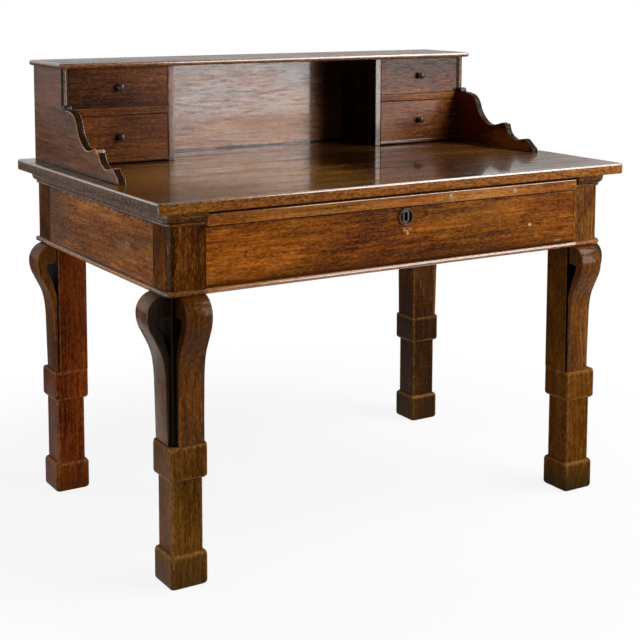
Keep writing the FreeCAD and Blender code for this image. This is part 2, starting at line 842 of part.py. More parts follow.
def under_board():
    """Return the thin board under the lower left drawer."""
    z0 = top_height + under_board_rise
    y0 = gallery_front + shelf_setback
    return box(-gallery_inner, -partition_out, y0, back_board_front, z0, lower_opening_bottom)


def small_levels(upper):
    """Return the bottom and top of a small drawer's opening."""
    if upper:
        return shelf_top, gallery_top_underside
    return lower_opening_bottom, shelf_bottom


def small_side_bounds(upper):
    """Return the bounds of a small drawer's left side."""
    low, high = small_levels(upper)
    x0 = -gallery_inner + small_gap
    y0 = gallery_front + small_front_setback + small_front_thickness
    z0 = low + rest_gap
    return x0, x0 + small_side_thickness, y0, back_board_front - small_back_gap, z0, high - small_side_drop


def small_middle():
    """Return the middle of the left small drawers in X."""
    return -(gallery_inner + partition_out) / 2


def mirror_about(shape, x):
    """Return a shape mirrored in the upright plane at one value of X."""
    return shape.mirror(Vector(x, 0, 0), Vector(1, 0, 0))


def small_front(upper):
    """Return a left small drawer's front with its dovetail sockets and the hole for the knob."""
    low, high = small_levels(upper)
    bounds = small_side_bounds(upper)
    y0 = gallery_front + small_front_setback
    board = box(-gallery_inner + small_gap, -partition_out - small_gap, y0, y0 + small_front_thickness,
                low + small_gap, high - small_gap)
    x0, x1, side_y, y1, z0, z1 = bounds
    base = low + small_gap + joint_gap
    across = (x0, x1 + joint_gap, side_y)
    sockets = tail_shapes(*across, small_dovetail_length, base, z1, small_dovetail_count, joint_gap)
    sockets += [mirror_about(socket, small_middle()) for socket in sockets]
    start = Vector(small_middle(), y0, (low + high) / 2)
    hole = Part.makeCylinder(knob_pin_radius + pin_gap, knob_pin_length + pin_gap, start, Vector(0, 1, 0))
    return board.cut(sockets + [hole])


def small_box(upper):
    """Return a left small drawer's box: two dovetailed sides, back and bottom."""
    bounds = small_side_bounds(upper)
    low, high = small_levels(upper)
    x0, x1, y0, y1, z0, z1 = bounds
    middle = small_middle()
    floor_low = z0 + small_bottom_rise
    reach = middle - x1 + small_groove_depth
    floor = box(middle - reach, middle + reach, y0, y1, floor_low, floor_low + small_bottom_thickness)
    wide = reach + joint_gap
    groove = box(middle - wide, middle + wide, y0, y1, floor_low - joint_gap,
                 floor_low + small_bottom_thickness + joint_gap)
    left = box_side(bounds, low + small_gap + joint_gap, small_dovetail_length, small_dovetail_count, [groove])
    right = mirror_about(left, middle)
    inner = middle - x1
    back_low = floor_low + small_bottom_thickness
    back = box(middle - inner, middle + inner, y1 - small_side_thickness, y1, back_low, z1)
    return Part.makeCompound([left, right, floor, back])


def knob(upper):
    """Return a turned knob: a pin in the front, a neck and a round flattened head."""
    low, high = small_levels(upper)
    points = [Vector(0, 0, -knob_pin_length)]
    points.append(Vector(knob_pin_radius, 0, -knob_pin_length))
    points.append(Vector(knob_pin_radius, 0, 0))
    for radius_share, length_share in knob_profile_shares:
        points.append(Vector(knob_radius * radius_share, 0, knob_length * length_share))
    shape = closed_face(points).revolve(Vector(0, 0, 0), Vector(0, 0, 1), 360)
    shape.rotate(Vector(0, 0, 0), Vector(1, 0, 0), 90)
    shape.translate(Vector(small_middle(), gallery_front + small_front_setback, (low + high) / 2))
    return shape


def build_legs():
    """Write the four legs and their eight brackets."""
    corners = {"fl": (-1, -1), "fr": (1, -1), "bl": (-1, 1), "br": (1, 1)}
    shapes = {"leg": leg(), "bracket_end": front_bracket(), "bracket_side": side_bracket()}
    for corner, (side_x, side_y) in corners.items():
        for kind, shape in shapes.items():
            save(kind + "_" + corner, place(shape, side_x, side_y))


def build_frame():
    """Write the corner blocks, aprons, mouldings, rail, runners, kickers and top."""
    sides = {"left": -1, "right": 1}
    front = front_block()
    rear = rear_block()
    for side, sign in sides.items():
        save("block_front_" + side, place(front, sign, -1))
        save("block_rear_" + side, place(rear, sign, 1))
        save("apron_" + side, place(side_apron(), sign, -1))
        save("cornice_" + side, place(side_strip(cornice_profile), sign, -1))
        save("bead_" + side, place(side_strip(bead_profile), sign, -1))
        save("runner_" + side, place(runner(), sign, -1))
        save("kicker_" + side, place(kicker(), sign, -1))
    save("apron_back", back_apron())
    save("front_rail", front_rail())
    save("table_top", table_top())


def build_long_drawer():
    """Write the long drawer and its lock."""
    save("drawer_front", drawer_front())
    save("drawer_strip", drawer_strip())
    save("drawer_box", long_box())
    save("escutcheon", escutcheon())
    save("lock_case", lock_case())
    save("lock_bolt", lock_bolt())


def build_gallery():
    """Write the gallery's boards and the four small drawers."""
    save("gallery_top", gallery_top())
    save("gallery_back", gallery_back_board())
    makers = {"side_upper": upper_side, "side_wing": lower_side, "partition": partition, "shelf": shelf}
    makers["under_board"] = under_board
    for side, sign in {"left": -1, "right": 1}.items():
        for name, make in makers.items():
            save(name + "_" + side, place(make(), sign, -1))
        for level, upper in {"upper": True, "lower": False}.items():
            save("small_front_" + level + "_" + side, place(small_front(upper), sign, -1))
            save("small_box_" + level + "_" + side, place(small_box(upper), sign, -1))
            save("small_knob_" + level + "_" + side, place(knob(upper), sign, -1))


build_legs()
build_frame()
build_long_drawer()
build_gallery()
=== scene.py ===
"""Dresses a walnut writing table with a gallery of small drawers: skins, finishes, light and camera."""

import logging
import math
from dataclasses import dataclass, replace
from enum import Enum
from typing import Callable, Sequence

import bmesh
import bpy
import numpy as np
from mathutils import Euler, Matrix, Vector


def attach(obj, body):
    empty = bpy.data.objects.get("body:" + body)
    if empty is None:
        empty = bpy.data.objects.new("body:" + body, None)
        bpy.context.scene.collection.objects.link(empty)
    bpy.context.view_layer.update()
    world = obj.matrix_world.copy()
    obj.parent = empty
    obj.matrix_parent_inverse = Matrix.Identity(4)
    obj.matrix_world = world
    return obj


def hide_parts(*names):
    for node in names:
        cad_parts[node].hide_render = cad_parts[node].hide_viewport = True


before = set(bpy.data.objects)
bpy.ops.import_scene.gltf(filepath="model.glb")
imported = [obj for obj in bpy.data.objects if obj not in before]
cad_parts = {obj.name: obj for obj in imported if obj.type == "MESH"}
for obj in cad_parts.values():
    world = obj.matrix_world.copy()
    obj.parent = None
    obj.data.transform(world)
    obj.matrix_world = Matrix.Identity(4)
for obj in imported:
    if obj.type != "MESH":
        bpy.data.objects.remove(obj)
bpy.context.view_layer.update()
LOG = logging.getLogger("writing_table")

Colour = tuple[float, float, float]
Span = tuple[float, float]


class Grain(Enum):
    """The axis along which the fibres of a board run."""

    ALONG_X = "x"
    ALONG_Y = "y"
    ALONG_Z = "z"


class Corner(Enum):
    """A corner of the table, with the two signs that carry the front left corner there."""

    FRONT_LEFT = ("fl", 1, 1)
    FRONT_RIGHT = ("fr", -1, 1)
    BACK_LEFT = ("bl", 1, -1)
    BACK_RIGHT = ("br", -1, -1)


class Side(Enum):
    """One half of the table, with the sign that carries the left half there."""

    LEFT = ("left", 1)
    RIGHT = ("right", -1)


# ---- Shader expressions


def joined(operation: str) -> "Callable[[Signal, Signal | float], Signal]":
    """Returns the method that joins a signal and a value by one operation of the Math node."""
    return lambda signal, other: signal.shader.maths(operation, signal, other)


class Signal:
    """A shader socket on which arithmetic reads as plain arithmetic."""

    __add__ = __radd__ = joined("ADD")
    __sub__ = joined("SUBTRACT")
    __mul__ = __rmul__ = joined("MULTIPLY")
    __truediv__ = joined("DIVIDE")
    __pow__ = joined("POWER")

    def __init__(self, shader: "Shader", socket: bpy.types.NodeSocket) -> None:
        """Keeps the socket and the shader that it belongs to."""
        self.shader = shader
        self.socket = socket

    def __rsub__(self, other: float) -> "Signal":
        """Takes this signal away from a value."""
        return self.shader.maths("SUBTRACT", other, self)

    def sine(self) -> "Signal":
        """Returns the sine of the signal."""
        return self.shader.maths("SINE", self)

    def within(self, low: float, high: float) -> "Signal":
        """Rises smoothly from 0 at one value to 1 at another.

        Args:
            low: where the result is 0.
            high: where the result is 1; lower than low for a fall.

        Returns:
            The eased signal between 0 and 1.
        """
        settings = {"interpolation_type": "SMOOTHSTEP"}
        inputs = {"Value": self, "From Min": low, "From Max": high}
        return self.shader.signal(self.shader.node("ShaderNodeMapRange", settings, inputs), "Result")


class Shader:
    """A material or world whose nodes are made by one method and joined by expressions."""

    def __init__(self, owner: "bpy.types.Material | bpy.types.World") -> None:
        """Empties the nodes of a material or world.

        Args:
            owner: the new material or world.
        """
        self.owner = owner
        owner.use_nodes = True
        self.tree = owner.node_tree
        self.tree.nodes.clear()

    def node(self, kind: str, settings: dict | None = None, inputs: dict | None = None) -> bpy.types.Node:
        """Makes one node.

        Args:
            kind: the node's type name.
            settings: properties, set first; "stops" gives a colour ramp's places and colours.
            inputs: values or signals by socket name or number.

        Returns:
            The new node.
        """
        made = self.tree.nodes.new(kind)
        for key, value in (settings or {}).items():
            if key == "stops":
                while len(made.color_ramp.elements) < len(value):
                    made.color_ramp.elements.new(0.5)
                for element, (place, colour) in zip(made.color_ramp.elements, value):
                    element.position = place
                    element.color = (*colour, 1.0)
            else:
                setattr(made, key, value)
        for key, value in (inputs or {}).items():
            socket = made.inputs[key]
            if isinstance(value, Signal):
                self.tree.links.new(value.socket, socket)
            else:
                socket.default_value = value
        return made

    def signal(self, node: bpy.types.Node, output: str | int = 0) -> Signal:
        """Wraps one output of a node."""
        return Signal(self, node.outputs[output])

    def maths(self, operation: str, *values: "Signal | float") -> Signal:
        """Returns one Math node's result."""
        return self.signal(self.node("ShaderNodeMath", {"operation": operation}, dict(enumerate(values))))

    def mix(self, share: "Signal | float", first: "Signal | tuple", second: "Signal | tuple",
            way: str = "MIX") -> Signal:
        """Mixes two colours.

        Args:
            share: how much of the second is taken.
            first: the colour at 0.
            second: the colour at 1.
            way: the name of the blend.

        Returns:
            The mixed colour.
        """
        settings = {"data_type": "RGBA", "blend_type": way}
        pair = [value if isinstance(value, Signal) else (*value, 1.0) for value in (first, second)]
        return self.signal(self.node("ShaderNodeMix", settings, {0: share, 6: pair[0], 7: pair[1]}), 2)

    def vector(self, operation: str, first: Signal, second: "Signal | tuple") -> Signal:
        """Returns one Vector Math node's vector."""
        return self.signal(self.node("ShaderNodeVectorMath", {"operation": operation}, {0: first, 1: second}))

    def noise(self, place: Signal, detail: float = 3.0, roughness: float = 0.55,
              distortion: float = 0.0) -> Signal:
        """Returns noise of one unit's size at a stretched place, between about 0.2 and 0.8."""
        inputs = {"Vector": place, "Scale": 1.0, "Detail": detail, "Roughness": roughness,
                  "Distortion": distortion}
        return self.signal(self.node("ShaderNodeTexNoise", None, inputs), "Fac")

    def attribute(self, name: str) -> Signal:
        """Returns a value kept on the mesh's points, or 0 where it has none."""
        return self.signal(self.node("ShaderNodeAttribute", {"attribute_name": name}), "Fac")

    def place(self) -> Signal:
        """Returns the point on the piece, in metres."""
        return self.signal(self.node("ShaderNodeTexCoord"), "Object")

    def length(self, vector: Signal) -> Signal:
        """Returns the length of a vector."""
        return self.signal(self.node("ShaderNodeVectorMath", {"operation": "LENGTH"}, {0: vector}), "Value")

    def relief(self, height: Signal, strength: float, distance: float) -> Signal:
        """Returns the normal of a surface with a fine relief."""
        inputs = {"Strength": strength, "Distance": distance, "Height": height}
        return self.signal(self.node("ShaderNodeBump", None, inputs), "Normal")

    def seen(self) -> Signal:
        """Returns 1 for rays from the camera, straight or through glass, and 0 for others."""
        ray = self.node("ShaderNodeLightPath")
        kinds = (self.signal(ray, f"Is {kind} Ray") for kind in ("Camera", "Transmission"))
        return self.maths("MAXIMUM", *kinds)

    def glossy(self) -> Signal:
        """Returns 1 for rays that a glossy surface sends out, and 0 for others."""
        return self.signal(self.node("ShaderNodeLightPath"), "Is Glossy Ray")

    def finish(self, principled: dict) -> bpy.types.Material:
        """Adds the surface shader and the output.

        Args:
            principled: values and signals of the surface shader's sockets.

        Returns:
            The finished material.
        """
        surface = self.node("ShaderNodeBsdfPrincipled", None, principled)
        output = self.node("ShaderNodeOutputMaterial")
        self.tree.links.new(surface.outputs[0], output.inputs[0])
        return self.owner


# ---- Finishes

# How often the wood's noises change in a metre, across and along the grain.
BROAD_SCALE = (5.5, 2.2)
GOLDEN_SCALE = (9.0, 3.5)
DENT_SCALE = (46.0, 26.0)
FIBRE_SCALE = (260.0, 9.0)
FLECK_SCALE = (290.0, 105.0)
PORE_SCALE = (640.0, 44.0)
# How much of the figure's scale the small figure has across the grain, and both have along it.
SMALL_ACROSS, SMALL_ALONG, FIGURE_ALONG = 3.6, 1.1, 0.30
# Detail, roughness and distortion of the noises.
FIGURE_NOISE = (4.0, 0.6, 0.5)
SMALL_NOISE = (3.0, 0.65, 0.6)
FIBRE_NOISE = (3.0, 0.6)
FLECK_NOISE = (2.0, 0.7)
PORE_NOISE = (2.0, 0.5)
STREAK_NOISE = (5.0, 0.7)
# The order of the axes that brings the grain last.
GRAIN_ORDER = {Grain.ALONG_X: (1, 2, 0), Grain.ALONG_Y: (0, 2, 1), Grain.ALONG_Z: (0, 1, 2)}
# For each axis, how far a seed moves the pattern, and where the pattern starts.
SEED_STEPS = ((0.37, 0.11), (0.53, 0.29), (0.71, 0.43))
SEED_SPAN = 1.7
# The tones at which the ramp reaches the four colours.
TONE_STOPS = (0.16, 0.42, 0.62, 0.90)
GOLDEN_TINT = (0.96, 1.26, 1.10)
# Near-black colour of painted shade on wood, the colour that darkens the feet towards the floor, and
# near-black painted shade on metal.
PAINTED_WOOD_SHADE = (0.003, 0.0016, 0.001)
FOOT_DARK = (0.020, 0.015, 0.004)
PAINTED_METAL_SHADE = (0.004, 0.003, 0.002)
# A reach so long that a mark has no limit along that axis.
ENDLESS = 9.0
# Distances, in reaches, between which a mark fades in and a dull place loses its polish.
MARK_EDGE = (1.1, 0.55)
DULL_EDGE = (1.2, 0.3)
# Noise values between which golden patches, pores, rubbed chips, flecks of a broken mark, streaks without
# polish and smudges on metal fade in.
GOLDEN_EDGE = (0.42, 0.66)
PORE_EDGE = (0.585, 0.68)
CHIP_EDGE = (0.46, 0.60)
BROKEN_EDGE = (0.47, 0.53)
STREAK_EDGE = (0.44, 0.60)
SMUDGE_EDGE = (0.38, 0.64)
# How much fibres, pores, dents and flecks count in the relief, and figure, pores and flecks in the roughness.
RELIEF_SHARES = (0.30, 0.45, 0.9, 0.28)
GLOSS_SHARES = (0.16, 0.18, 0.14)
# How much flecks and the small figure roughen the edge of a mark.
RAGGED_SHARES = (1.6, 1.2)
# How dark the pores are, and the share of an edge's wear that comes in chips.
PORE_SHARE = 0.5
CHIP_SHARE = 0.75
# Metres across the grain from a board's start to its pith, and how far a seed moves the pith.
PITH = (0.16, 0.30)
PITH_STEPS = (0.05, 0.04)
# How far the broad and the plain figure bend the rings, in metres.
RING_BEND = (0.22, 0.03)
# Heights in metres between which the feet darken towards the floor, and depths of the fine reliefs.
FOOT_EDGE = (0.10, 0.0)
WOOD_RELIEF, METAL_RELIEF = 0.0006, 0.0003


@dataclass(frozen=True)
class Mark:
    """A spot on the wood, such as a knot or a chip, or painted shade, shadow, sheen or highlight.

    A broken one shows only as flecks, a ragged one has a rough edge, and a dull one has lost its polish.
    """

    place: tuple[float, float, float]
    reach: tuple[float, float, float]
    colour: Colour
    strength: float = 0.8
    broken: bool = False
    ragged: float = 1.0
    dull: float = 0.0


@dataclass(frozen=True)
class Walnut:
    """Old waxed walnut: broad and small figure, fibres, faint rings, open pores, rubbed edges, feet that
    darken towards the floor, and painted shade where the mesh asks for it.
    """

    name: str
    dark: Colour
    middle: Colour
    warm: Colour
    light: Colour
    figure: float = 0.40
    figure_size: float = 26.0
    rings: float = 0.10
    ring_gap: float = 0.016
    golden: float = 0.5
    broad: float = 1.1
    small: float = 0.40
    fibre: float = 0.70
    fleck: float = 0.95
    gloss: float = 0.36
    shine: float = 0.35
    coat: float = 0.0
    coat_gloss: float = 0.2
    coat_ior: float = 1.5
    coat_streaks: float = 0.0
    streak_size: float = 44.0
    streak_run: float = 0.05
    worn: Colour = (0.27, 0.11, 0.035)
    worn_share: float = 0.5
    foot_darkening: float = 0.0
    relief: float = 0.45

    def dress(self, grain: Grain, seed: int = 0, marks: Sequence[Mark] = (),
              worn: bool = False) -> bpy.types.Material:
        """Makes the material for boards of one grain direction.

        The tone is a sum of broad figure, figure, small figure, fibre and fleck noise and a sine of the
        distance to a distant pith; a ramp turns it into colour, thresholded long noise darkens it as pores,
        the mesh's wear values lighten arrises, and its painted-shade values paint shade into recesses and
        gaps.

        Args:
            grain: the axis of the fibres.
            seed: shifts the pattern, so that boards differ.
            marks: spots at set places.
            worn: whether the whole surface is a rubbed edge.

        Returns:
            The material, made once for each name, grain, seed and worn.
        """
        name = f"{self.name}_{grain.value}_{seed}" + ("_worn" if worn else "")
        found = bpy.data.materials.get(name)
        if found:
            return found
        s = Shader(bpy.data.materials.new(name))
        place = s.place()
        parts = s.node("ShaderNodeSeparateXYZ", None, {0: place})
        shift = [(seed * step) % SEED_SPAN + start for step, start in SEED_STEPS]
        u, v, w = (s.signal(parts, index) + moved for index, moved in zip(GRAIN_ORDER[grain], shift))
        spot = s.signal(s.node("ShaderNodeCombineXYZ", None, {0: u, 1: v, 2: w}))

        def grained(across: float, along: float, *noise: float) -> Signal:
            """Returns noise scaled across and along the grain."""
            return s.noise(s.vector("MULTIPLY", spot, (across, across, along)), *noise)

        size = self.figure_size
        broad = grained(*BROAD_SCALE, 2.0)
        figure = grained(size, size * FIGURE_ALONG, *FIGURE_NOISE)
        small = grained(size * SMALL_ACROSS, size * SMALL_ALONG, *SMALL_NOISE)
        fibre = grained(*FIBRE_SCALE, *FIBRE_NOISE)
        fleck = grained(*FLECK_SCALE, *FLECK_NOISE)
        pith_u = shift[0] + PITH[0] + PITH_STEPS[0] * (seed % 3)
        pith_v = shift[1] - PITH[1] - PITH_STEPS[1] * (seed % 4)
        off_u = u - pith_u + broad * RING_BEND[0]
        off_v = v - pith_v + figure * RING_BEND[1]
        radius = (off_u * off_u + off_v * off_v) ** 0.5
        rings = (radius * (2.0 * math.pi / self.ring_gap)).sine()
        tone = (0.5 + rings * (self.rings * 0.5) + (figure - 0.5) * self.figure + (broad - 0.5) * self.broad
                + (small - 0.5) * self.small + (fibre - 0.5) * self.fibre + (fleck - 0.5) * self.fleck)
        stops = list(zip(TONE_STOPS, (self.dark, self.middle, self.warm, self.light)))
        colour = s.signal(s.node("ShaderNodeValToRGB", {"stops": stops}, {0: tone}))
        golden = grained(*GOLDEN_SCALE, *FIBRE_NOISE).within(*GOLDEN_EDGE) * self.golden
        colour = s.mix(golden, colour, GOLDEN_TINT, "MULTIPLY")
        pores = grained(*PORE_SCALE, *PORE_NOISE).within(*PORE_EDGE)
        colour = s.mix(pores * PORE_SHARE, colour, self.dark)
        chips = fleck.within(*CHIP_EDGE)
        rubbed = chips if worn else s.attribute("wear") * (1.0 - CHIP_SHARE + chips * CHIP_SHARE)
        colour = s.mix(rubbed * self.worn_share, colour, self.worn)
        colour, polish = self.marked(s, place, marks, colour, fleck, small)
        # The feet darken towards the floor.
        if self.foot_darkening:
            low = s.signal(parts, 2).within(*FOOT_EDGE) * (0.35 + small) * self.foot_darkening
            colour = s.mix(low, colour, FOOT_DARK)
        # Painted shade: near-black blends in where the mesh's painted-shade values say, in recesses, gaps and
        # faces that lie in shade.
        colour = s.mix(s.attribute("grime"), colour, PAINTED_WOOD_SHADE)
        dents = grained(*DENT_SCALE, 2.0)
        by_fibre, by_pores, by_dents, by_fleck = RELIEF_SHARES
        height = fibre * by_fibre - pores * by_pores + dents * by_dents + fleck * by_fleck
        of_figure, of_pores, of_fleck = GLOSS_SHARES
        coat = self.coat
        if self.coat_streaks:
            long = grained(self.streak_size, self.streak_size * self.streak_run, *STREAK_NOISE)
            streaks = long * 0.8 + figure * 0.2
            coat = self.coat * (1.0 - streaks.within(*STREAK_EDGE) * self.coat_streaks)
        return s.finish({
            "Base Color": colour,
            "Roughness": (self.gloss + (figure - 0.5) * of_figure + pores * of_pores
                          + (fleck - 0.5) * of_fleck),
            "Normal": s.relief(height, self.relief, WOOD_RELIEF),
            "Coat Weight": coat * polish, "Coat Roughness": self.coat_gloss, "Coat IOR": self.coat_ior,
            "Specular IOR Level": self.shine})

    @staticmethod
    def marked(s: Shader, place: Signal, marks: Sequence[Mark], colour: Signal, fleck: Signal,
               small: Signal) -> "tuple[Signal, Signal | float]":
        """Lays marks over the wood.

        A mark fades smoothly with the distance from its place, counted in reaches and roughened by noise.

        Args:
            s: the material's shader.
            place: the point on the piece.
            marks: the marks, the last on top.
            colour: the wood's colour.
            fleck: the fleck noise.
            small: the small figure's noise.

        Returns:
            The colour with the marks, and the share of polish that is left.
        """
        polish = 1.0
        for mark in marks:
            away = s.vector("DIVIDE", s.vector("SUBTRACT", place, mark.place), mark.reach)
            distance = s.length(away)
            rough_edge = ((fleck - 0.5) * RAGGED_SHARES[0] + (small - 0.5) * RAGGED_SHARES[1]) * mark.ragged
            mask = (distance + rough_edge).within(*MARK_EDGE) * mark.strength
            if mark.broken:
                mask = mask * fleck.within(*BROKEN_EDGE)
            colour = s.mix(mask, colour, mark.colour)
            if mark.dull:
                polish = polish * (1.0 - (distance + (small - 0.5) * 0.5).within(*DULL_EDGE) * mark.dull)
        return colour, polish


@dataclass(frozen=True)
class Polished:
    """Black-stained turned wood or tarnished metal with smudges, and painted shade where the mesh asks for
    it.
    """

    name: str
    colour: Colour
    second: Colour
    metallic: float
    roughness: float
    coat: float = 0.0
    shine: float = 0.5

    def dress(self) -> bpy.types.Material:
        """Makes the material, once.

        Returns:
            A material whose two colours meet along noise, with a light relief.
        """
        found = bpy.data.materials.get(self.name)
        if found:
            return found
        s = Shader(bpy.data.materials.new(self.name))
        smudge, fine = (s.noise(s.vector("MULTIPLY", s.place(), (scale,) * 3), detail, roughness)
                        for scale, detail, roughness in ((160.0, 4.0, 0.6), (900.0, 2.0, 0.55)))
        colour = s.mix(smudge.within(*SMUDGE_EDGE), self.colour, self.second)
        # Painted shade: near-black blends into the colour where the mesh's painted-shade values say.
        return s.finish({
            "Base Color": s.mix(s.attribute("grime"), colour, PAINTED_METAL_SHADE),
            "Roughness": self.roughness + (smudge - 0.5) * 0.25, "Metallic": self.metallic,
            "Normal": s.relief(smudge * 0.6 + fine * 0.4, 0.3, METAL_RELIEF),
            "Coat Weight": self.coat, "Coat Roughness": 0.12, "Specular IOR Level": self.shine})


TOP_WALNUT = Walnut(
    "walnut_top", (0.016, 0.0045, 0.0008), (0.08, 0.026, 0.004), (0.145, 0.052, 0.0085),
    (0.27, 0.115, 0.025), rings=0.2, gloss=0.26, shine=0.05, coat=1.0, coat_gloss=0.065, coat_ior=2.3,
    coat_streaks=0.55, worn=(0.28, 0.115, 0.036), relief=0.3)
LID_WALNUT = replace(
    TOP_WALNUT, name="walnut_lid", coat=0.36, coat_gloss=0.12, coat_ior=1.5, coat_streaks=0.85)
EDGE_WALNUT = Walnut(
    "walnut_edge", (0.065, 0.015, 0.001), (0.19, 0.054, 0.004), (0.3, 0.092, 0.008), (0.46, 0.185, 0.04),
    figure=0.3, figure_size=50.0, fleck=1.5, gloss=0.28, shine=0.03, worn=(0.42, 0.17, 0.05),
    worn_share=0.4)
FLANK_WALNUT = Walnut(
    "walnut_flank", (0.018, 0.008, 0.004), (0.055, 0.024, 0.011), (0.1, 0.046, 0.022), (0.2, 0.1, 0.052),
    figure=0.3, gloss=0.28, shine=0.35, worn=(0.26, 0.15, 0.09), worn_share=0.35, golden=0.2)
ARRIS_WALNUT = replace(
    EDGE_WALNUT, name="walnut_arris", shine=0.5, coat=1.0, coat_ior=1.9, coat_gloss=0.09, relief=0.2)
MOULD_WALNUT = replace(
    EDGE_WALNUT, name="walnut_mould", fleck=1.2, shine=0.2, coat=0.8, coat_ior=1.8, coat_gloss=0.1)
FRONT_WALNUT = Walnut(
    "walnut_front", (0.048, 0.0095, 0.0005), (0.19, 0.045, 0.002), (0.33, 0.085, 0.004),
    (0.56, 0.172, 0.022), figure=0.65, broad=1.3, gloss=0.28, shine=0.05, golden=0.8,
    worn=(0.42, 0.18, 0.05))
STRIP_WALNUT = Walnut(
    "walnut_strip", (0.075, 0.016, 0.0014), (0.265, 0.072, 0.008), (0.415, 0.124, 0.017),
    (0.6, 0.23, 0.058), figure=0.5, gloss=0.28, shine=0.04, golden=0.7, worn=(0.5, 0.25, 0.1),
    worn_share=0.5)
SIDE_WALNUT = Walnut(
    "walnut_side", (0.052, 0.013, 0.0012), (0.18, 0.049, 0.0052), (0.315, 0.094, 0.0115),
    (0.52, 0.19, 0.038), figure=0.6, broad=1.3, gloss=0.28, shine=0.22, golden=0.7,
    worn=(0.36, 0.16, 0.06))
SIDE_MOULD = replace(FLANK_WALNUT, name="walnut_side_mould", coat=0.2, coat_gloss=0.12, worn_share=0.7)
BEAD_WALNUT = replace(
    SIDE_WALNUT, name="walnut_bead", coat=0.35, coat_gloss=0.1, worn=(0.62, 0.28, 0.12), worn_share=0.8,
    shine=0.12)
FRONT_MOULD = replace(
    EDGE_WALNUT, name="walnut_front_mould", dark=(0.026, 0.007, 0.0006), middle=(0.09, 0.027, 0.0024),
    warm=(0.16, 0.051, 0.005), light=(0.32, 0.125, 0.026), shine=0.1)
BLOCK_WALNUT = Walnut(
    "walnut_block", (0.02, 0.0045, 0.0004), (0.078, 0.019, 0.0013), (0.155, 0.043, 0.0034),
    (0.36, 0.135, 0.024), figure=0.5, gloss=0.28, shine=0.05, worn=(0.36, 0.16, 0.05))
RIGHT_BLOCK_WALNUT = replace(
    BLOCK_WALNUT, name="walnut_right_block", middle=(0.105, 0.031, 0.003), warm=(0.19, 0.062, 0.007),
    light=(0.4, 0.165, 0.036))
LEG_WALNUT = Walnut(
    "walnut_leg", (0.022, 0.006, 0.0005), (0.082, 0.027, 0.0017), (0.134, 0.048, 0.0038),
    (0.24, 0.094, 0.013), figure=0.3, figure_size=34.0, gloss=0.34, shine=0.05, golden=0.2,
    worn=(0.4, 0.19, 0.052), worn_share=0.7, foot_darkening=0.6)
RIGHT_LEG_WALNUT = replace(
    LEG_WALNUT, name="walnut_right_leg", middle=(0.072, 0.0205, 0.0012), warm=(0.118, 0.037, 0.0027),
    light=(0.205, 0.074, 0.009), foot_darkening=1.0, shine=0.02)
# A darker copy of the leg wood for the back right leg: painted shade.
SHADED_LEG_WALNUT = replace(
    LEG_WALNUT, name="walnut_shaded_leg", dark=(0.014, 0.004, 0.0004), middle=(0.036, 0.011, 0.001),
    warm=(0.066, 0.021, 0.002), light=(0.14, 0.05, 0.008))
# A redder, lighter copy of the leg wood for the back left leg: its red hue, and painted light on its front
# face, which lies in the table's shade.
RED_LIT_LEG_WALNUT = replace(
    LEG_WALNUT, name="walnut_red_lit_leg", dark=(0.04, 0.006, 0.0005), middle=(0.155, 0.027, 0.002),
    warm=(0.255, 0.051, 0.004), light=(0.4, 0.11, 0.014), golden=0.0)
BRACKET_WALNUT = Walnut(
    "walnut_bracket", (0.022, 0.0055, 0.0004), (0.078, 0.021, 0.0014), (0.134, 0.04, 0.003),
    (0.26, 0.095, 0.016), figure=0.3, figure_size=30.0, gloss=0.26, shine=0.06, golden=0.2, coat=0.06,
    coat_gloss=0.09, coat_ior=1.7, worn=(0.3, 0.12, 0.03))
GLOSSY_BRACKET = replace(BRACKET_WALNUT, name="walnut_bracket_right", coat=0.09, coat_gloss=0.07)
STRAP_WALNUT = replace(
    BRACKET_WALNUT, name="walnut_side_strap", dark=(0.022, 0.007, 0.0014), middle=(0.088, 0.031, 0.007),
    warm=(0.155, 0.058, 0.014), light=(0.29, 0.125, 0.038), shine=0.2, gloss=0.24, coat=0.0)
GALLERY_WALNUT = Walnut(
    "walnut_gallery", (0.021, 0.0045, 0.0008), (0.078, 0.018, 0.0028), (0.145, 0.038, 0.006),
    (0.28, 0.092, 0.022), gloss=0.22, shine=0.1, worn=(0.3, 0.12, 0.045))
SHEEN_WALNUT = replace(
    GALLERY_WALNUT, name="walnut_sheen", dark=(0.023, 0.005, 0.001), middle=(0.08, 0.019, 0.0036),
    warm=(0.148, 0.04, 0.008), light=(0.28, 0.093, 0.025), shine=0.18)
PANEL_WALNUT = Walnut(
    "walnut_panel", (0.028, 0.0075, 0.0025), (0.098, 0.03, 0.011), (0.162, 0.054, 0.021),
    (0.27, 0.105, 0.048), figure=0.5, broad=1.3, gloss=0.3, shine=0.16, worn=(0.32, 0.15, 0.07))
BACK_WALNUT = Walnut(
    "walnut_back", (0.08, 0.019, 0.004), (0.27, 0.08, 0.022), (0.42, 0.145, 0.045), (0.6, 0.26, 0.1),
    figure=0.9, broad=1.3, gloss=0.18, shine=0.25, coat=0.7, coat_gloss=0.065, coat_streaks=0.7,
    streak_size=150.0, streak_run=0.11, relief=0.4)
NOSE_WALNUT = Walnut(
    "walnut_nose", (0.02, 0.006, 0.002), (0.075, 0.024, 0.008), (0.13, 0.046, 0.017), (0.24, 0.095, 0.035),
    gloss=0.24, shine=0.4, coat=0.6, coat_gloss=0.1, coat_streaks=0.5, worn=(0.35, 0.19, 0.1), relief=0.35)
TRIM_WALNUT = replace(GALLERY_WALNUT, name="walnut_trim", coat=0.2, coat_gloss=0.12, worn_share=0.7)
